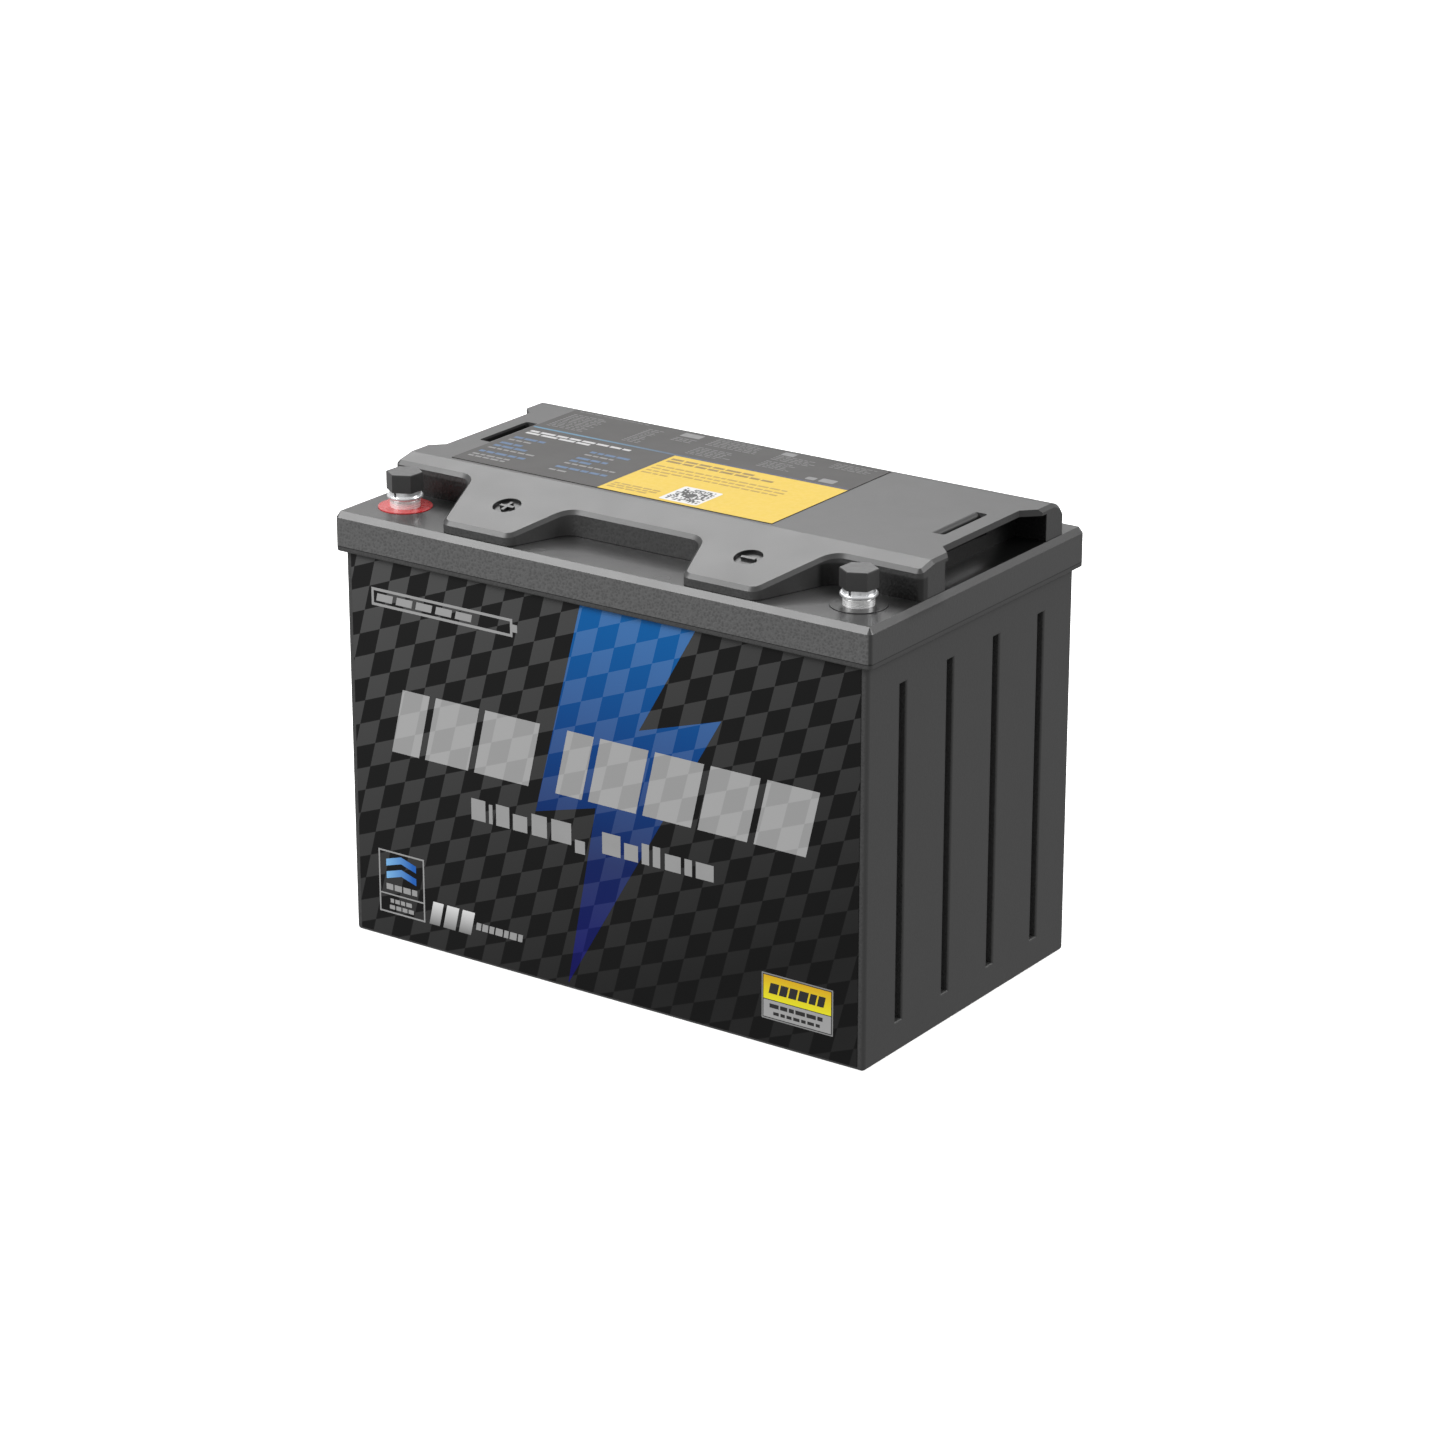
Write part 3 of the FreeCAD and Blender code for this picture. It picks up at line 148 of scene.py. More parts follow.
class Finish:
    """A Principled material and short ways to add nodes to it."""

    def __init__(self, name, roughness=0.5, metallic=0.0, **sockets):
        self.mat = bpy.data.materials.new(name)
        self.mat.use_nodes = True
        self.nodes = self.mat.node_tree.nodes
        self.nodes.clear()
        out = self.nodes.new("ShaderNodeOutputMaterial")
        self.bsdf = self.nodes.new("ShaderNodeBsdfPrincipled")
        self.link(self.bsdf.outputs["BSDF"], out.inputs["Surface"])
        self.bsdf.inputs["Roughness"].default_value = roughness
        self.bsdf.inputs["Metallic"].default_value = metallic
        for key, value in sockets.items():
            self.bsdf.inputs[key.replace("_", " ")].default_value = value
        self.coords = self.nodes.new("ShaderNodeTexCoord").outputs["Object"]
        self.axes = None

    def link(self, source, target):
        self.mat.node_tree.links.new(source, target)

    def feed(self, socket, value):
        """Link a node output to a socket, or set the socket to a plain value."""
        if isinstance(value, bpy.types.NodeSocket):
            self.link(value, socket)
        else:
            socket.default_value = value

    def set(self, name, value):
        self.feed(self.bsdf.inputs[name], value)

    def wander(self, size_mm, low, high, stretch=None):
        """Roughness that drifts between two values over patches of the given size."""
        self.set("Roughness", self.ramp(self.noise(size_mm, 2.0, stretch=stretch), 0.2, 0.8, low, high))

    def calc(self, operation, a, b=0.0, c=0.0, clamp=False):
        node = self.nodes.new("ShaderNodeMath")
        node.operation = operation
        node.use_clamp = clamp
        for socket, value in zip(node.inputs, (a, b, c)):
            self.feed(socket, value)
        return node.outputs[0]

    def axis(self, index):
        """One coordinate of the position on the piece, in metres."""
        if self.axes is None:
            node = self.nodes.new("ShaderNodeSeparateXYZ")
            self.link(self.coords, node.inputs[0])
            self.axes = node
        return self.axes.outputs[index]

    def facing(self, index):
        """How far the surface faces along an axis, 0 to 1 either way."""
        node = self.nodes.new("ShaderNodeSeparateXYZ")
        geometry = self.nodes.new("ShaderNodeNewGeometry")
        self.link(geometry.outputs["Normal"], node.inputs[0])
        return self.calc("ABSOLUTE", node.outputs[index])

    def ramp(self, value, low, high, out_low=0.0, out_high=1.0, smooth=True):
        node = self.nodes.new("ShaderNodeMapRange")
        node.interpolation_type = "SMOOTHSTEP" if smooth else "LINEAR"
        self.feed(node.inputs["Value"], value)
        node.inputs["From Min"].default_value = low
        node.inputs["From Max"].default_value = high
        node.inputs["To Min"].default_value = out_low
        node.inputs["To Max"].default_value = out_high
        return node.outputs["Result"]

    def mix(self, factor, a, b, blend="MIX"):
        node = self.nodes.new("ShaderNodeMix")
        node.data_type = "RGBA"
        node.blend_type = blend
        self.feed(node.inputs["Factor"], factor)
        self.feed(node.inputs[6], a)
        self.feed(node.inputs[7], b)
        return node.outputs[2]

    def noise(self, size_mm, detail=2.0, roughness=0.5, stretch=None):
        node = self.nodes.new("ShaderNodeTexNoise")
        node.inputs["Scale"].default_value = 1000.0 / size_mm
        node.inputs["Detail"].default_value = detail
        node.inputs["Roughness"].default_value = roughness
        self.link(self.stretched(stretch), node.inputs["Vector"])
        return node.outputs["Fac"]

    def cells(self, size_mm, smooth):
        """Soft distance to the middles of scattered cells."""
        node = self.nodes.new("ShaderNodeTexVoronoi")
        node.feature = "SMOOTH_F1"
        node.inputs["Smoothness"].default_value = smooth
        node.inputs["Scale"].default_value = 1000.0 / size_mm
        self.link(self.coords, node.inputs["Vector"])
        return node.outputs["Distance"]

    def stretched(self, scale):
        """Position with each axis scaled, so that the texture on it is drawn out."""
        if scale is None:
            return self.coords
        node = self.nodes.new("ShaderNodeMapping")
        self.link(self.coords, node.inputs["Vector"])
        node.inputs["Scale"].default_value = scale
        return node.outputs["Vector"]

    def bump(self, height, distance_mm, strength, after=None):
        """Relief of the given height, on top of an earlier relief."""
        node = self.nodes.new("ShaderNodeBump")
        node.inputs["Distance"].default_value = distance_mm * MM
        self.feed(node.inputs["Strength"], strength)
        self.feed(node.inputs["Height"], height)
        if after is not None:
            self.link(after, node.inputs["Normal"])
        self.link(node.outputs["Normal"], self.bsdf.inputs["Normal"])
        return node.outputs["Normal"]

    def dot(self, x, y, z, shift):
        """x, y and z times the object position in mm, plus shift."""
        node = self.nodes.new("ShaderNodeVectorMath")
        node.operation = "DOT_PRODUCT"
        self.link(self.coords, node.inputs[0])
        node.inputs[1].default_value = (x / MM, y / MM, z / MM)
        return self.calc("ADD", node.outputs["Value"], shift)


# slanted checker print: one cell is spanned by these two edges, one corner lies at START (mm, x and z)
EDGE_ALONG = (11.72, 4.42)
EDGE_UP = (3.25, 12.0)
START = (-109.7, 154.5)


def checker(f):
    """0 on light cells and 1 on dark cells of the slanted checker."""
    det = EDGE_ALONG[0] * EDGE_UP[1] - EDGE_UP[0] * EDGE_ALONG[1]
    ux, uz = EDGE_UP[1] / det, -EDGE_UP[0] / det
    vx, vz = -EDGE_ALONG[1] / det, EDGE_ALONG[0] / det
    u = f.calc("FLOOR", f.dot(ux, 0, uz, -(ux * START[0] + uz * START[1])))
    v = f.calc("FLOOR", f.dot(vx, 0, vz, -(vx * START[0] + vz * START[1])))
    half = f.calc("FRACT", f.calc("MULTIPLY", f.calc("ADD", u, v), 0.5))
    return f.calc("MULTIPLY", half, 2.0)


# ---------------------------------------------------------------- moulded plastics
def within(f, box, blur):
    """1 inside a box given as (low, high) of |x|, y and z in mm, fading to 0 over blur mm."""
    inside = 1.0
    places = (f.calc("ABSOLUTE", f.axis(0)), f.axis(1), f.axis(2))
    for place, ends in zip(places, box):
        for end, outer, inner in zip(ends, (0.0, 1.0), (1.0, 0.0)):
            part = f.ramp(place, (end - blur / 2) * MM, (end + blur / 2) * MM, outer, inner)
            inside = f.calc("MULTIPLY", part, inside)
    return inside


def away(f, across, x, y):
    """Distance in plan from (x, y) in mm, with across as the x to measure from."""
    dx = f.calc("SUBTRACT", across, x * MM)
    dy = f.calc("SUBTRACT", f.axis(1), y * MM)
    return f.calc("SQRT", f.calc("ADD", f.calc("MULTIPLY", dx, dx), f.calc("MULTIPLY", dy, dy)))


# how squarely a face must look forwards or sideways to count as upright, and the leather grain's
# size and tones
UPRIGHT = (0.86, 0.97)
GRAIN_MM = 1.45
# painted shade in the grain's creases and painted light on its tops, as multipliers of the colour
CREASE = (0.80, 0.80, 0.80, 1.0)
GRAIN_TOPS = (1.20, 1.20, 1.20, 1.0)


def moulded(name, tone, roughness, grain_front, grain_end, floor_gloss=None, bands=(), marks=(),
            skirt=None, dark=(), recess=None):
    """Dark moulded plastic: leather grain on upright faces, fine matt texture above.

    bands are (low, high, tone) lines round the upright faces, painted shade at joints and at feet,
    marks are (x, y, radius) moulding rings, skirt is the tone of the front and end faces, painted
    lighter than the rest for the light they catch, dark is (box, blur, tone) of painted shade in places
    that hold little light, and recess is (x, y, radius, tone) of the polarity marks sunk in the slope,
    painted darker as shade.
    """
    f = Finish(name, roughness)
    cloud = f.noise(38.0, 3.0, 0.55)
    colour = f.mix(cloud, grey(tone - 1.5), grey(tone + 1.5))
    speck = f.ramp(f.noise(0.9, 1.0), 0.62, 0.8, 0.0, 0.35)
    colour = f.mix(speck, colour, grey(tone + 9))
    # painted shade: dark lines in the joint between case and lid and at the deck's foot on the lid floor
    for low, high, shade in bands:
        z = f.axis(2)
        inside = f.calc("MULTIPLY", f.calc("GREATER_THAN", z, low * MM), f.calc("LESS_THAN", z, high * MM))
        upright = f.ramp(f.facing(2), 0.3, 0.6, 1.0, 0.0)
        colour = f.mix(f.calc("MULTIPLY", inside, upright), colour, grey(shade))
    # painted light: front and end faces painted lighter than the top, for the light they catch
    if skirt:
        for index, shade in zip((1, 0), skirt):
            colour = f.mix(f.ramp(f.facing(index), *UPRIGHT), colour, grey(shade))
    # painted shade: darker colour in places that hold little light
    for box, blur, shade in dark:
        colour = f.mix(within(f, box, blur), colour, grey(shade))
    # painted shade: the polarity recess and its sign painted darker
    if recess:
        x, y, radius, shade = recess
        reach = away(f, f.calc("ABSOLUTE", f.axis(0)), x, y)
        slope_z = f.calc("ADD", f.calc("MULTIPLY", f.axis(1), SLOPE), (DECK_TOP + SLOPE * SLOPE_EDGE) * MM)
        sunk = f.ramp(f.calc("SUBTRACT", slope_z, f.axis(2)), 0.25 * MM, 0.6 * MM)
        near = f.ramp(reach, (radius - 0.1) * MM, (radius + 0.2) * MM, 1.0, 0.0)
        colour = f.mix(f.calc("MULTIPLY", sunk, near), colour, grey(shade))
    # leather grain, painted shade and light: creases darker and tops lighter, most of all on the front faces
    wrinkle = f.calc("ADD", f.cells(GRAIN_MM, 0.35), f.calc("MULTIPLY", f.noise(0.8, 2.0), 0.8))
    front = f.ramp(f.facing(1), *UPRIGHT, 0.0, grain_front)
    end = f.ramp(f.facing(0), *UPRIGHT, 0.0, grain_end)
    grain = f.calc("ADD", front, end, clamp=True)
    f.set("Base Color", f.mix(grain, colour, f.mix(f.ramp(wrinkle, 0.55, 1.05), CREASE, GRAIN_TOPS), "MULTIPLY"))
    if floor_gloss is None:
        f.wander(24.0, roughness - 0.02, roughness + 0.02)
    else:
        rough = f.ramp(f.facing(2), 0.9, 0.99, roughness, floor_gloss)
        drift = f.calc("MULTIPLY", f.calc("SUBTRACT", f.noise(22.0, 2.0), 0.5), 0.05)
        f.set("Roughness", f.calc("ADD", rough, drift))
    last = f.bump(wrinkle, 0.22, grain)
    last = f.bump(f.noise(0.55, 2.0), 0.035, 0.55, last)
    for x, y, radius in marks:
        line = f.calc("ABSOLUTE", f.calc("SUBTRACT", away(f, f.axis(0), x, y), radius * MM))
        last = f.bump(f.ramp(line, 0.0, 0.35 * MM, 1.0, 0.0), 0.10, 0.8, last)
    return f.mat


# heights in mm: the joint between case and lid, the lid's floor, the deck's flat
SEAM = 186.5
FLOOR = 202.5
DECK_TOP = 218.5
# the deck falls towards the front by SLOPE, starting SLOPE_EDGE in front of the middle
SLOPE = 0.211
SLOPE_EDGE = 35.0
# moulding rings near the lid's front edge (x, y, radius), polarity marks in the slope (x, y, radius, tone)
RINGS = [(-33.4, -81.0, 3.3), (33.4, -81.0, 3.3)]
# the tone here is painted shade in the polarity recess
POLARITY = (64.8, -61.66, 6.5, 26)
# painted shade in places that hold little light: strap slots, end pockets and the backs of the terminal bays
SLOT = ((121.5, 126.5), (-1.8, 31.8), (200.0, 217.3))
POCKET = ((117.0, 141.2), (-27.0, 57.0), (200.0, 215.2))
BAY_WALL = ((95.0, 146.0), (-72.0, -40.0), (200.0, 212.5))
BAY_FLOOR = ((100.0, 146.0), (-58.0, -30.0), (200.0, 204.0))
MATS = {
    "case_plastic": moulded("case_plastic", 54, 0.45, 0.55, 0.10, bands=[(SEAM - 0.4, SEAM + 0.1, 8)]),
    "lid_plastic": moulded("lid_plastic", 52, 0.36, 0.85, 0.10, floor_gloss=0.30,
                           bands=[(SEAM - 0.1, SEAM + 0.35, 8)], marks=RINGS, skirt=(80, 60),
                           dark=[(BAY_FLOOR, 9.0, 9), (POCKET, 0.6, 8)]),
    "deck_plastic": moulded("deck_plastic", 52, 0.38, 0.75, 0.15, bands=[(FLOOR - 0.1, FLOOR + 0.5, 14)],
                            dark=[(BAY_WALL, 1.0, 15), (SLOT, 0.3, 6), (POCKET, 0.6, 8)],
                            recess=POLARITY),
}


# ---------------------------------------------------------------- printed films and terminals
PRINT_SHEEN = 0.18


def front_film():
    f = Finish("front_film", 0.38, Specular_IOR_Level=PRINT_SHEEN)
    # painted shade: the print darkens towards the lower right corner, for the light falling off there
    along = f.calc("SUBTRACT", f.calc("MULTIPLY", f.axis(2), 0.90), f.calc("MULTIPLY", f.axis(0), 0.44))
    fall = f.ramp(along, -5 * MM, 223 * MM, 0.0, 1.0, smooth=False)
    light = f.mix(fall, grey(28), grey(73))
    dark = f.mix(fall, grey(6), grey(21))
    f.set("Base Color", f.mix(checker(f), light, dark))
    f.wander(30.0, 0.34, 0.42)
    f.bump(f.noise(0.5, 2.0), 0.01, 0.4)
    return f.mat


def top_film():
    f = Finish("top_film", 0.42, Specular_IOR_Level=0.32)
    f.set("Base Color", f.mix(f.noise(26.0, 3.0), lin(24, 20, 18), lin(27, 23, 21)))
    f.wander(18.0, 0.40, 0.44)
    f.bump(f.noise(0.6, 2.0), 0.012, 0.4)
    return f.mat


def gloss(name, base, deep, roughness, coat):
    """Glossy moulded plastic with a faint orange-peel skin."""
    f = Finish(name, roughness, Coat_Weight=coat, Coat_Roughness=0.08)
    f.set("Base Color", f.mix(f.noise(7.0, 2.0), base, deep))
    f.wander(3.0, roughness - 0.04, roughness + 0.05)
    f.bump(f.noise(1.6, 2.0), 0.02, 0.35)
    return f.mat


def turned_metal(name, base, deep, roughness, shine):
    """Plated metal with fine turning lines, partly satin."""
    f = Finish(name, roughness, shine)
    f.set("Base Color", f.mix(f.noise(2.5, 3.0), base, deep))
    lines = f.noise(0.45, 2.0, stretch=(0.15, 0.15, 2.2))
    f.set("Roughness", f.ramp(lines, 0.25, 0.75, roughness - 0.02, roughness + 0.03))
    f.bump(lines, 0.002, 0.5)
    return f.mat


MATS.update({
    "front_film": front_film(),
    "top_film": top_film(),
    "red_plastic": gloss("red_plastic", lin(196, 26, 30), lin(176, 16, 22), 0.28, 0.4),
    "black_plastic": gloss("black_plastic", grey(38), grey(32), 0.34, 0.2),
    "cap_plastic": gloss("cap_plastic", grey(50), grey(42), 0.36, 0.1),
    "post_brass": turned_metal("post_brass", lin(244, 244, 243), lin(238, 238, 238), 0.26, 0.5),
    "steel": turned_metal("steel", lin(238, 239, 240), lin(228, 229, 231), 0.20, 0.72),
})

# ---------------------------------------------------------------- what is inside the case
# base tone, second tone, roughness and grain size in mm
PLASTICS = {
    "seal_rubber": (lin(26, 26, 27), lin(34, 34, 34), 0.7, 1.0),
    "fibre_sheet": (lin(196, 190, 170), lin(178, 170, 150), 0.85, 0.8),
    "pad_foam": (lin(52, 52, 54), lin(34, 34, 36), 0.95, 0.9),
    "tray_plastic": (lin(44, 44, 46), lin(54, 54, 56), 0.5, 1.2),
    "board_green": (lin(18, 74, 44), lin(12, 58, 34), 0.32, 4.0),
    "chip_black": (lin(24, 24, 26), lin(36, 36, 38), 0.55, 0.6),
    "spacer_nylon": (lin(214, 210, 198), lin(200, 196, 184), 0.5, 1.4),
    "plug_white": (lin(226, 222, 210), lin(214, 210, 198), 0.42, 1.6),
    "red_sheath": (lin(176, 24, 22), lin(150, 16, 16), 0.45, 1.2),
    "black_sheath": (lin(24, 24, 25), lin(36, 36, 37), 0.45, 1.2),
    "wire_sheath": (lin(196, 168, 30), lin(168, 140, 22), 0.45, 0.8),
}
METALS = {
    "can_aluminium": (lin(186, 188, 192), lin(164, 166, 170), 0.34, 0.9),
    "roll_foil": (lin(120, 122, 128), lin(86, 88, 94), 0.42, 0.5),
    "pole_aluminium": (lin(204, 205, 208), lin(180, 181, 184), 0.3, 0.5),
    "pole_copper": (lin(198, 120, 84), lin(170, 98, 66), 0.3, 0.5),
    "vent_foil": (lin(208, 209, 212), lin(186, 187, 190), 0.24, 0.6),
    "busbar_copper": (lin(200, 124, 86), lin(172, 100, 68), 0.32, 0.8),
    "plate_aluminium": (lin(178, 180, 184), lin(154, 156, 160), 0.4, 1.0),
    "band_steel": (lin(168, 170, 174), lin(140, 142, 146), 0.34, 0.6),
    "sink_aluminium": (lin(74, 76, 80), lin(58, 60, 64), 0.4, 0.8),
    "lug_copper": (lin(196, 190, 184), lin(170, 164, 158), 0.3, 0.6),
}


def plain(name, base, deep, roughness, grain, metallic):
    """Finish for inner pieces: mottled colour, wandering roughness and a fine skin."""
    f = Finish(name, roughness, metallic)
    f.set("Base Color", f.mix(f.noise(grain * 6, 3.0), base, deep))
    stretch = (1.0, 1.0, 0.2) if metallic else None
    f.wander(grain, roughness - 0.06, roughness + 0.08, stretch)
    f.bump(f.noise(grain * 0.6, 2.0, stretch=stretch), 0.03, 0.5)
    return f.mat


for finishes, metallic in ((PLASTICS, 0.0), (METALS, 1.0)):
    for slot_name, values in finishes.items():
        MATS[slot_name] = plain(slot_name, *values, metallic)

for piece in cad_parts.values():
    for socket in piece.material_slots:
        socket.material = MATS[socket.material.name.split(".")[0]]


# ---------------------------------------------------------------- shapes
def finished(bm, name, material):
    """New object in the scene from closed geometry."""
    bmesh.ops.recalc_face_normals(bm, faces=bm.faces)
    mesh = bpy.data.meshes.new(name)
    bm.to_mesh(mesh)
    bm.free()
    mesh.materials.append(material)
    piece = bpy.data.objects.new(name, mesh)
    scene.collection.objects.link(piece)
    return piece


# ---------------------------------------------------------------- prints on the films
# in mm: lean of the lettering bars, thickness of one layer of ink, and where the films' faces lie
SLANT = 0.23
INK = 0.03
FRONT_Y = -83.63
TOP_Z = 218.75


class Print:
    """Flat ink shapes of one colour on one film, as thin closed slabs."""

    def __init__(self, name, film, material):
        self.bm = bmesh.new()
        self.name = name
        self.film = film
        self.material = material

    def spot(self, u, v, lift):
        """Point on the film, lift mm above it."""
        if self.film == "front_film":
            return Vector((u, FRONT_Y - lift, v)) * MM
        return Vector((u, v, TOP_Z + lift)) * MM

    def shape(self, points, lift=INK):
        """Closed slab over an outline given counter-clockwise in film coordinates."""
        low = [self.bm.verts.new(self.spot(u, v, lift - INK)) for u, v in points]
        high = [self.bm.verts.new(self.spot(u, v, lift)) for u, v in points]
        count = len(points)
        self.bm.faces.new(high)
        self.bm.faces.new(low[::-1])
        for i in range(count):
            j = (i + 1) % count
            self.bm.faces.new((low[i], low[j], high[j], high[i]))

    def bar(self, u0, u1, v0, v1, slant=0.0, lift=INK):
        """Bar between two u and two v values, leaning to the right by slant."""
        lean = slant * (v1 - v0) / 2
        self.shape([(u0 - lean, v0), (u1 - lean, v0), (u1 + lean, v1), (u0 + lean, v1)], lift)

    def rounded(self, u0, u1, v0, v1, radius, lift=INK, steps=6):
        """Rectangle with round corners."""
        points = []
        for cu, cv, start in ((u1 - radius, v0 + radius, -90), (u1 - radius, v1 - radius, 0),
                              (u0 + radius, v1 - radius, 90), (u0 + radius, v0 + radius, 180)):
            for k in range(steps + 1):
                a = math.radians(start + 90 * k / steps)
                points.append((cu + radius * math.cos(a), cv + radius * math.sin(a)))
        self.shape(points, lift)

    def outline(self, u0, u1, v0, v1, line):
        """Outline of a rectangle, drawn inwards."""
        self.bar(u0, u1, v1 - line, v1)
        self.bar(u0, u1, v0, v0 + line)
        self.bar(u0, u0 + line, v0 + line, v1 - line)
        self.bar(u1 - line, u1, v0 + line, v1 - line)

    def words(self, u0, u1, v, height, rng, word=(2.2, 6.0), gap=0.9, slant=0.0, lift=INK):
        """A line of blank word-length bars standing for small print."""
        at = u0
        while at < u1 - word[0]:
            end = min(u1, at + rng.uniform(*word))
            self.bar(at, end, v, v + height, slant, lift)
            at = end + gap

    def done(self):
        piece = finished(self.bm, self.name, self.material)
        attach(piece, "battery")


def ink(name, base, deep, roughness=0.42, checked=False, gradient=None):
    """Printing ink; checked lets the checker show through, gradient is (axis, low, high) in mm."""
    f = Finish(name, roughness, Specular_IOR_Level=0.35)
    if gradient:
        axis, low, high = gradient
        factor = f.ramp(f.axis(axis), low * MM, high * MM, 0.0, 1.0, smooth=False)
    elif checked:
        factor = checker(f)
    else:
        factor = f.noise(9.0, 2.0)
    f.set("Base Color", f.mix(factor, base, deep))
    f.wander(2.4, roughness - 0.04, roughness + 0.05)
    f.bump(f.noise(0.4, 2.0), 0.008, 0.4)
    return f.mat


def bolt_ink():
    """Blue to violet down the bolt, with the checker showing through."""
    f = Finish("bolt_ink", 0.38, Specular_IOR_Level=PRINT_SHEEN)
    # height in mm, colour on dark cells, colour on light cells
    levels = [(3.0, lin(6, 2, 84), lin(14, 6, 100)), (65.0, lin(3, 27, 86), lin(40, 53, 101)),
              (120.0, lin(2, 61, 125), lin(51, 84, 138)), (180.0, lin(3, 87, 153), lin(61, 109, 166))]
    colour = None
    for tone in (1, 2):
        chain = levels[0][tone]
        for (z0, *_), (z1, *tones) in zip(levels, levels[1:]):
            factor = f.ramp(f.axis(2), z0 * MM, z1 * MM, 0.0, 1.0, smooth=False)
            chain = f.mix(factor, chain, tones[tone - 1])
        colour = chain if colour is None else f.mix(checker(f), chain, colour)
    f.set("Base Color", colour)
    f.wander(30.0, 0.34, 0.42)
    return f.mat


rng = random.Random(12)

# lightning bolt down the front, over the checker
BOLT = [(-17.6, 3.0), (66.0, 145.0), (22.4, 131.6), (52.4, 183.0), (-8.8, 183.0), (-34.6, 81.6), (-1.4, 90.4)]
bolt_print = Print("front_bolt_print", "front_film", bolt_ink())
bolt_print.shape(BOLT)
bolt_print.done()

# blank bars in the places of the large rating characters and of the smaller line under them
silver = Print("front_bars_print", "front_film", ink("front_silver_ink", grey(161), grey(148), checked=True))
RATING = [(-112.5, -97.0), (-93.5, -69.0), (-65.5, -35.0), (-20.0, -5.5), (-2.0, 24.0), (27.5, 53.5),
          (57.0, 83.0), (86.5, 113.5)]
for u0, u1 in RATING:
    silver.bar(u0, u1, 92.6, 123.6, SLANT, 2 * INK)
silver.done()

pale = Print("front_line_print", "front_film", ink("front_pale_ink", grey(152), grey(144)))
LINE = [(-71, -63, 80), (-61, -59, 79), (-57, -49.5, 80), (-47.5, -39.5, 77.5), (-37, -28.5, 80),
        (-26, -15, 80), (2, 12, 80), (14, 21.5, 77.5), (23.5, 27.5, 79.5), (29.5, 33.5, 79.5),
        (36, 44.5, 77.5), (46.5, 50.5, 77.5), (52.5, 62, 77.5)]
for u0, u1, top in LINE:
    pale.bar(u0, u1, 69.8, top, 0.0, 2 * INK)
pale.bar(-13, -7.5, 66.8, 73, 0.0, 2 * INK)
# gauge outline at the upper left
pale.outline(-125.6, -46.0, 161.0, 169.4, 1.3)
pale.bar(-46.0, -43.4, 163.4, 167.0)
for k in range(5):
    pale.bar(-122.6 + 11.2 * k, -113.6 + 11.2 * k, 163.4, 167.0, SLANT)
# outlined box at the lower left
pale.outline(-125.8, -99.2, 12.6, 43.4, 0.8)
pale.bar(-125.0, -100.0, 21.6, 22.3)
pale.words(-121.6, -103.6, 24.2, 2.9, rng, (3.0, 5.0), 0.8)
pale.words(-119.4, -105.6, 17.9, 2.0, rng, (2.0, 3.6), 0.7)
pale.words(-120.0, -104.6, 14.7, 2.0, rng, (2.0, 3.6), 0.7)
pale.words(-69.5, -42.6, 16.2, 3.6, rng, (2.4, 4.2), 0.8, 0.15)
pale.done()

charge = Print("front_icon_print", "front_film",
               ink("front_icon_ink", lin(120, 176, 222), lin(24, 92, 176), gradient=(0, -122, -106)))
for k in range(2):
    low = 29.4 + 6.2 * k
    charge.shape([(-121.4, low), (-112.7, low + 2.6), (-104.0, low), (-104.0, low + 3.4), (-112.7, low + 6.0),
                  (-121.4, low + 3.4)])
charge.done()

shine = Print("front_shine_print", "front_film",
              ink("front_shine_ink", grey(120), grey(214), 0.3, gradient=(2, 12.8, 24.4)))
for u0, u1 in ((-95.5, -89.5), (-87.5, -80.5), (-78.5, -71.5)):
    shine.bar(u0, u1, 12.8, 24.2, SLANT)
shine.done()

# small two-part sticker at the lower right
rim = Print("sticker_rim_print", "front_film", ink("sticker_rim_ink", grey(138), grey(126)))
rim.rounded(87.4, 124.6, 12.8, 34.4, 0.4)
rim.done()
edge = Print("sticker_edge_print", "front_film", ink("sticker_edge_ink", grey(34), grey(28)))
edge.rounded(88.0, 124.0, 13.4, 33.8, 0.3, 2 * INK)
edge.done()
yellow = Print("sticker_yellow_print", "front_film",
               ink("sticker_yellow_ink", lin(226, 220, 30), lin(214, 168, 20), gradient=(2, 22.2, 33.4)))
yellow.bar(88.4, 123.6, 22.3, 33.4, 0.0, 3 * INK)
yellow.done()
plate = Print("sticker_grey_print", "front_film", ink("sticker_grey_ink", grey(160), grey(153)))
plate.bar(88.4, 123.6, 13.8, 21.9, 0.0, 3 * INK)
plate.done()
dark = Print("sticker_dark_print", "front_film", ink("sticker_dark_ink", grey(40), grey(34)))
dark.words(91.6, 121.4, 25.2, 5.0, rng, (3.4, 5.0), 0.9, SLANT, 4 * INK)
dark.words(91.6, 120.4, 18.5, 1.9, rng, (2.4, 5.0), 0.8, 0.0, 4 * INK)
dark.words(93.6, 118.6, 15.3, 1.5, rng, (2.0, 4.0), 0.9, 0.0, 4 * INK)
dark.done()

# top film: two columns of small print, a blue rule, and a yellow panel with a code of plain blocks
white = Print("top_white_print", "top_film", ink("top_white_ink", grey(176), grey(166)))
white.words(-115.0, -55.0, 20.6, 2.1, rng, (4.0, 9.0), 1.2)
white.words(-115.0, -75.0, 17.2, 2.1, rng, (4.0, 9.0), 1.2)
white.done()
soft = Print("top_soft_print", "top_film", ink("top_soft_ink", grey(112), grey(104)))
for v, u1 in ((4.2, -100.0), (-11.0, -86.0), (-22.6, -94.0), (-25.8, -94.0)):
    soft.words(-115.0, u1, v, 1.6, rng, (2.4, 5.0), 0.9)
for v, u1 in ((4.2, -55.0), (-11.0, -42.6), (-22.6, -60.0)):
    soft.words(-71.6, u1, v, 1.6, rng, (2.4, 5.0), 0.9)
soft.bar(-54.0, -43.2, 54.4, 59.8)
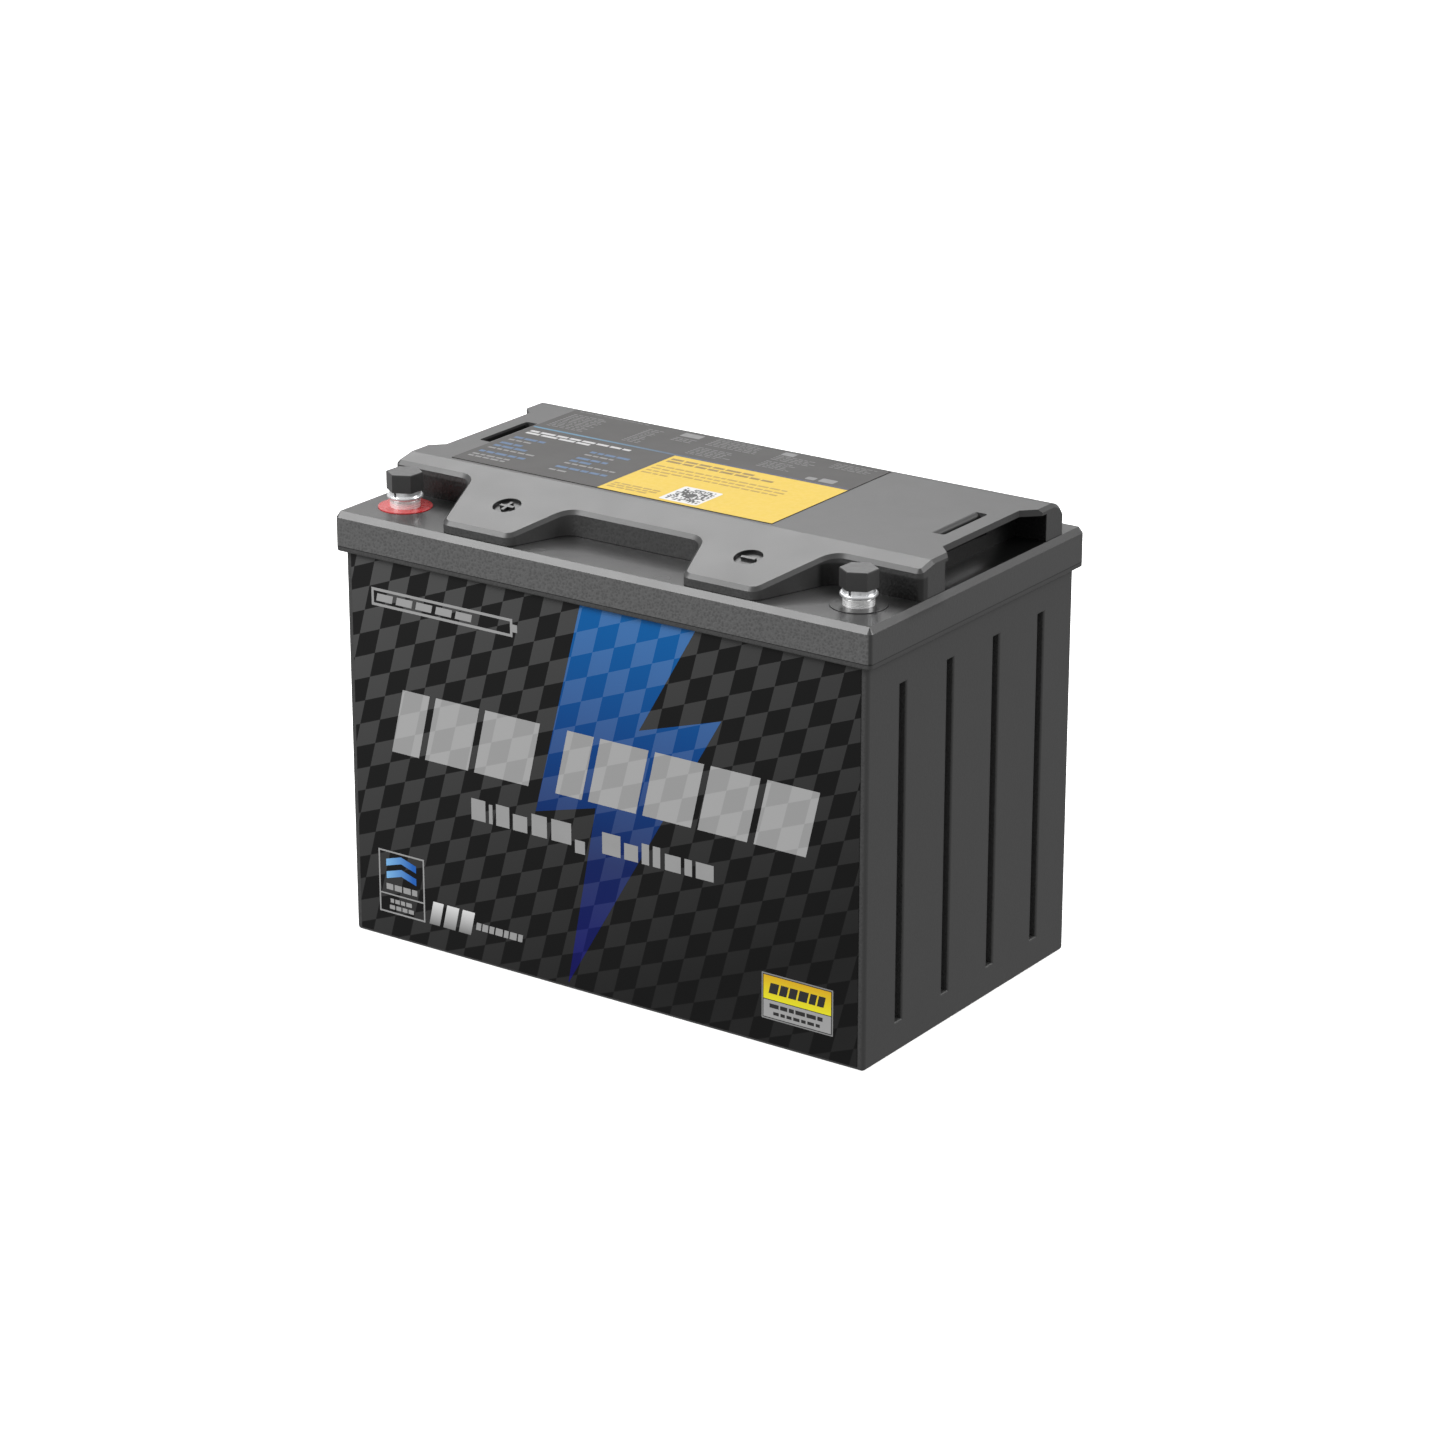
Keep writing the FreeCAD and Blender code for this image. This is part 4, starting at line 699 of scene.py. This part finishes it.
soft.bar(1.4, 8.2, 55.6, 60.2)
soft.rounded(31.0, 36.0, 30.8, 34.6, 0.8)
soft.rounded(38.0, 46.0, 30.8, 36.0, 0.8)
soft.done()
blue = Print("top_blue_print", "top_film", ink("top_blue_ink", lin(44, 78, 112), lin(52, 86, 120)))
for v, u1 in ((8.2, -95.0), (-2.2, -99.0), (-7.2, -95.0), (-17.8, -86.0)):
    blue.words(-115.0, u1, v, 2.4, rng, (3.0, 7.0), 1.0)
for v, u1 in ((8.4, -49.0), (-2.2, -52.0), (-7.2, -60.0), (-17.8, -43.4)):
    blue.words(-71.6, u1, v, 2.4, rng, (3.0, 7.0), 1.0)
blue.done()
rule = Print("top_rule_print", "top_film",
             ink("top_rule_ink", lin(56, 108, 134), lin(34, 42, 70), gradient=(0, -90, -20)))
rule.bar(-118.0, 56.4, 27.3, 28.9)
rule.done()
fine = Print("top_fine_print", "top_film", ink("top_fine_ink", grey(92), grey(84)))
FINE = [(-115, -68, 57.6, 60.6), (-115, -92, 32.4, 55.4), (-72, -62, 32.4, 55.4), (-54, -42, 46.0, 52.0),
        (-36, -8, 47.0, 60.6), (-36, -12, 32.4, 44.6), (1.4, 26, 46.4, 54.6), (1.4, 22, 34.6, 44.8),
        (30, 55, 50.6, 59.0)]
for u0, u1, v0, v1 in FINE:
    v = v1 - 1.0
    while v > v0:
        fine.words(u0, u1 - rng.uniform(0.0, 0.25) * (u1 - u0), v, 0.8, rng, (1.6, 4.6), 0.8)
        v -= 2.1
fine.done()
panel = Print("top_panel_print", "top_film", ink("top_panel_ink", lin(196, 164, 16), lin(190, 159, 14)))
panel.bar(-37.0, 56.8, -32.5, 27.0)
panel.done()
olive = Print("top_panel_words", "top_film", ink("top_olive_ink", lin(124, 98, 14), lin(116, 92, 12)))
olive.words(-35.0, 14.0, 20.6, 2.2, rng, (4.0, 8.0), 1.2, 0.0, 2 * INK)
olive.words(-35.0, 24.6, 16.8, 2.2, rng, (4.0, 8.0), 1.2, 0.0, 2 * INK)
olive.done()
tan = Print("top_panel_lines", "top_film", ink("top_tan_ink", lin(154, 126, 20), lin(148, 120, 18)))
for v, u1 in ((9.2, 36.0), (5.2, 37.6), (1.4, 38.4), (-2.4, -18.0), (-22.8, -10.0), (-25.6, -10.0),
              (-28.4, -10.4)):
    tan.words(-35.0, u1, v, 1.6, rng, (2.4, 5.6), 0.9, 0.0, 2 * INK)
tan.done()
# a card with a square field of plain blocks, drawn at random: its edges, its rim and its blocks to a side
CODE = (-5.4, 15.2, -30.2, -9.0)
CODE_RIM = (1.5, 1.8)
CELLS = 19
STEP = (CODE[1] - CODE[0] - 2 * CODE_RIM[0]) / CELLS
BLOCK = 0.96
card = Print("top_code_card", "top_film", ink("top_card_ink", grey(196), grey(188)))
card.rounded(*CODE, 1.2, 2 * INK)
card.done()
blocks = Print("top_code_blocks", "top_film", ink("top_block_ink", grey(42), grey(36)))
for i in range(CELLS):
    for j in range(CELLS):
        middle = abs(i - CELLS // 2) < 3 and abs(j - CELLS // 2) < 3
        if middle or rng.random() < 0.5:
            u, v = CODE[0] + CODE_RIM[0] + STEP * i, CODE[2] + CODE_RIM[1] + STEP * j
            blocks.bar(u, u + STEP * BLOCK, v, v + STEP * BLOCK, 0.0, 3 * INK)
blocks.done()

# ---------------------------------------------------------------- threaded bolts
# sizes in mm; ROUND points to a ring and PER_TURN rings to a turn of the thread
PITCH = 1.25
THREAD_OUT = 3.98
THREAD_IN = 3.25
THREAD_FLANK = 2.6
TIP_BEVEL = 0.5
ROUND = 40
PER_TURN = 8
HEAD_HIGH = 5.3
HEAD_FLATS = 13.0
HEAD_TURN = math.radians(26.6)
HEAD_BEVEL = 0.6
OVERLAP = 0.5


def skin(bm, rings):
    """Close a stack of rings that have equal numbers of points."""
    for below, above in zip(rings, rings[1:]):
        for i in range(len(below)):
            j = (i + 1) % len(below)
            bm.faces.new((below[i], below[j], above[j], above[i]))
    bm.faces.new(rings[0][::-1])
    bm.faces.new(rings[-1])


def threaded_bolt(side):
    """Hexagon-head bolt with a cut thread, in the space of its CAD node."""
    node = side + "_bolt"
    lo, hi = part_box(node)
    lo, hi = lo / MM, hi / MM
    cx, cy = (lo.x + hi.x) / 2, (lo.y + hi.y) / 2
    head_low = hi.z - HEAD_HIGH
    bm = bmesh.new()

    def point(radius, angle, z):
        return bm.verts.new(Vector((cx + radius * math.cos(angle), cy + radius * math.sin(angle), z)) * MM)

    rows = int((head_low + OVERLAP - lo.z) / PITCH * PER_TURN)
    rings = []
    for k in range(rows + 1):
        z = lo.z + (head_low + OVERLAP - lo.z) * k / rows
        ring = []
        for i in range(ROUND):
            phase = (z / PITCH - i / ROUND) % 1.0
            depth = min(1.0, abs(phase - 0.5) * THREAD_FLANK)
            radius = THREAD_IN + (THREAD_OUT - THREAD_IN) * (1.0 - depth)
            radius = min(radius, THREAD_IN - TIP_BEVEL + (z - lo.z))
            ring.append(point(radius, 2 * math.pi * i / ROUND, z))
        rings.append(ring)
    skin(bm, rings)
    corner = min((hi.x - lo.x) / 2, HEAD_FLATS / math.sqrt(3))
    skin(bm, [[point(corner * share, HEAD_TURN + math.pi * i / 3, z) for i in range(6)]
              for z, share in ((head_low, 1.0), (hi.z - HEAD_BEVEL, 1.0), (hi.z, 0.92))])
    piece = finished(bm, node + "_threaded", MATS["steel"])
    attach(piece, side + "_bolt_turning")
    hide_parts(node)


for side in ("positive", "negative"):
    threaded_bolt(side)

# ---------------------------------------------------------------- floor
FLOOR_HALF = 30.0
FLOOR_GLOW = 0.55
corners = [(x * FLOOR_HALF, y * FLOOR_HALF, 0) for x, y in ((-1, -1), (1, -1), (1, 1), (-1, 1))]
floor_mesh = bpy.data.meshes.new("floor")
floor_mesh.from_pydata(corners, [], [(0, 1, 2, 3)])
floor = bpy.data.objects.new("floor", floor_mesh)
scene.collection.objects.link(floor)
# pale paper that its glow brings to full white, so the battery's shadow doesn't show on it. The battery
# doesn't see it and it blocks no light: the room light below the horizon stands for its bounce
paper = Finish("floor_paper", 0.9, Emission_Strength=FLOOR_GLOW)
paper.set("Base Color", paper.mix(paper.noise(400.0, 2.0), grey(247), grey(251)))
paper.set("Emission Color", paper.mix(paper.noise(400.0, 2.0), grey(250), grey(255)))
floor_mesh.materials.append(paper.mat)
floor.visible_diffuse = False
floor.visible_glossy = False
floor.visible_shadow = False
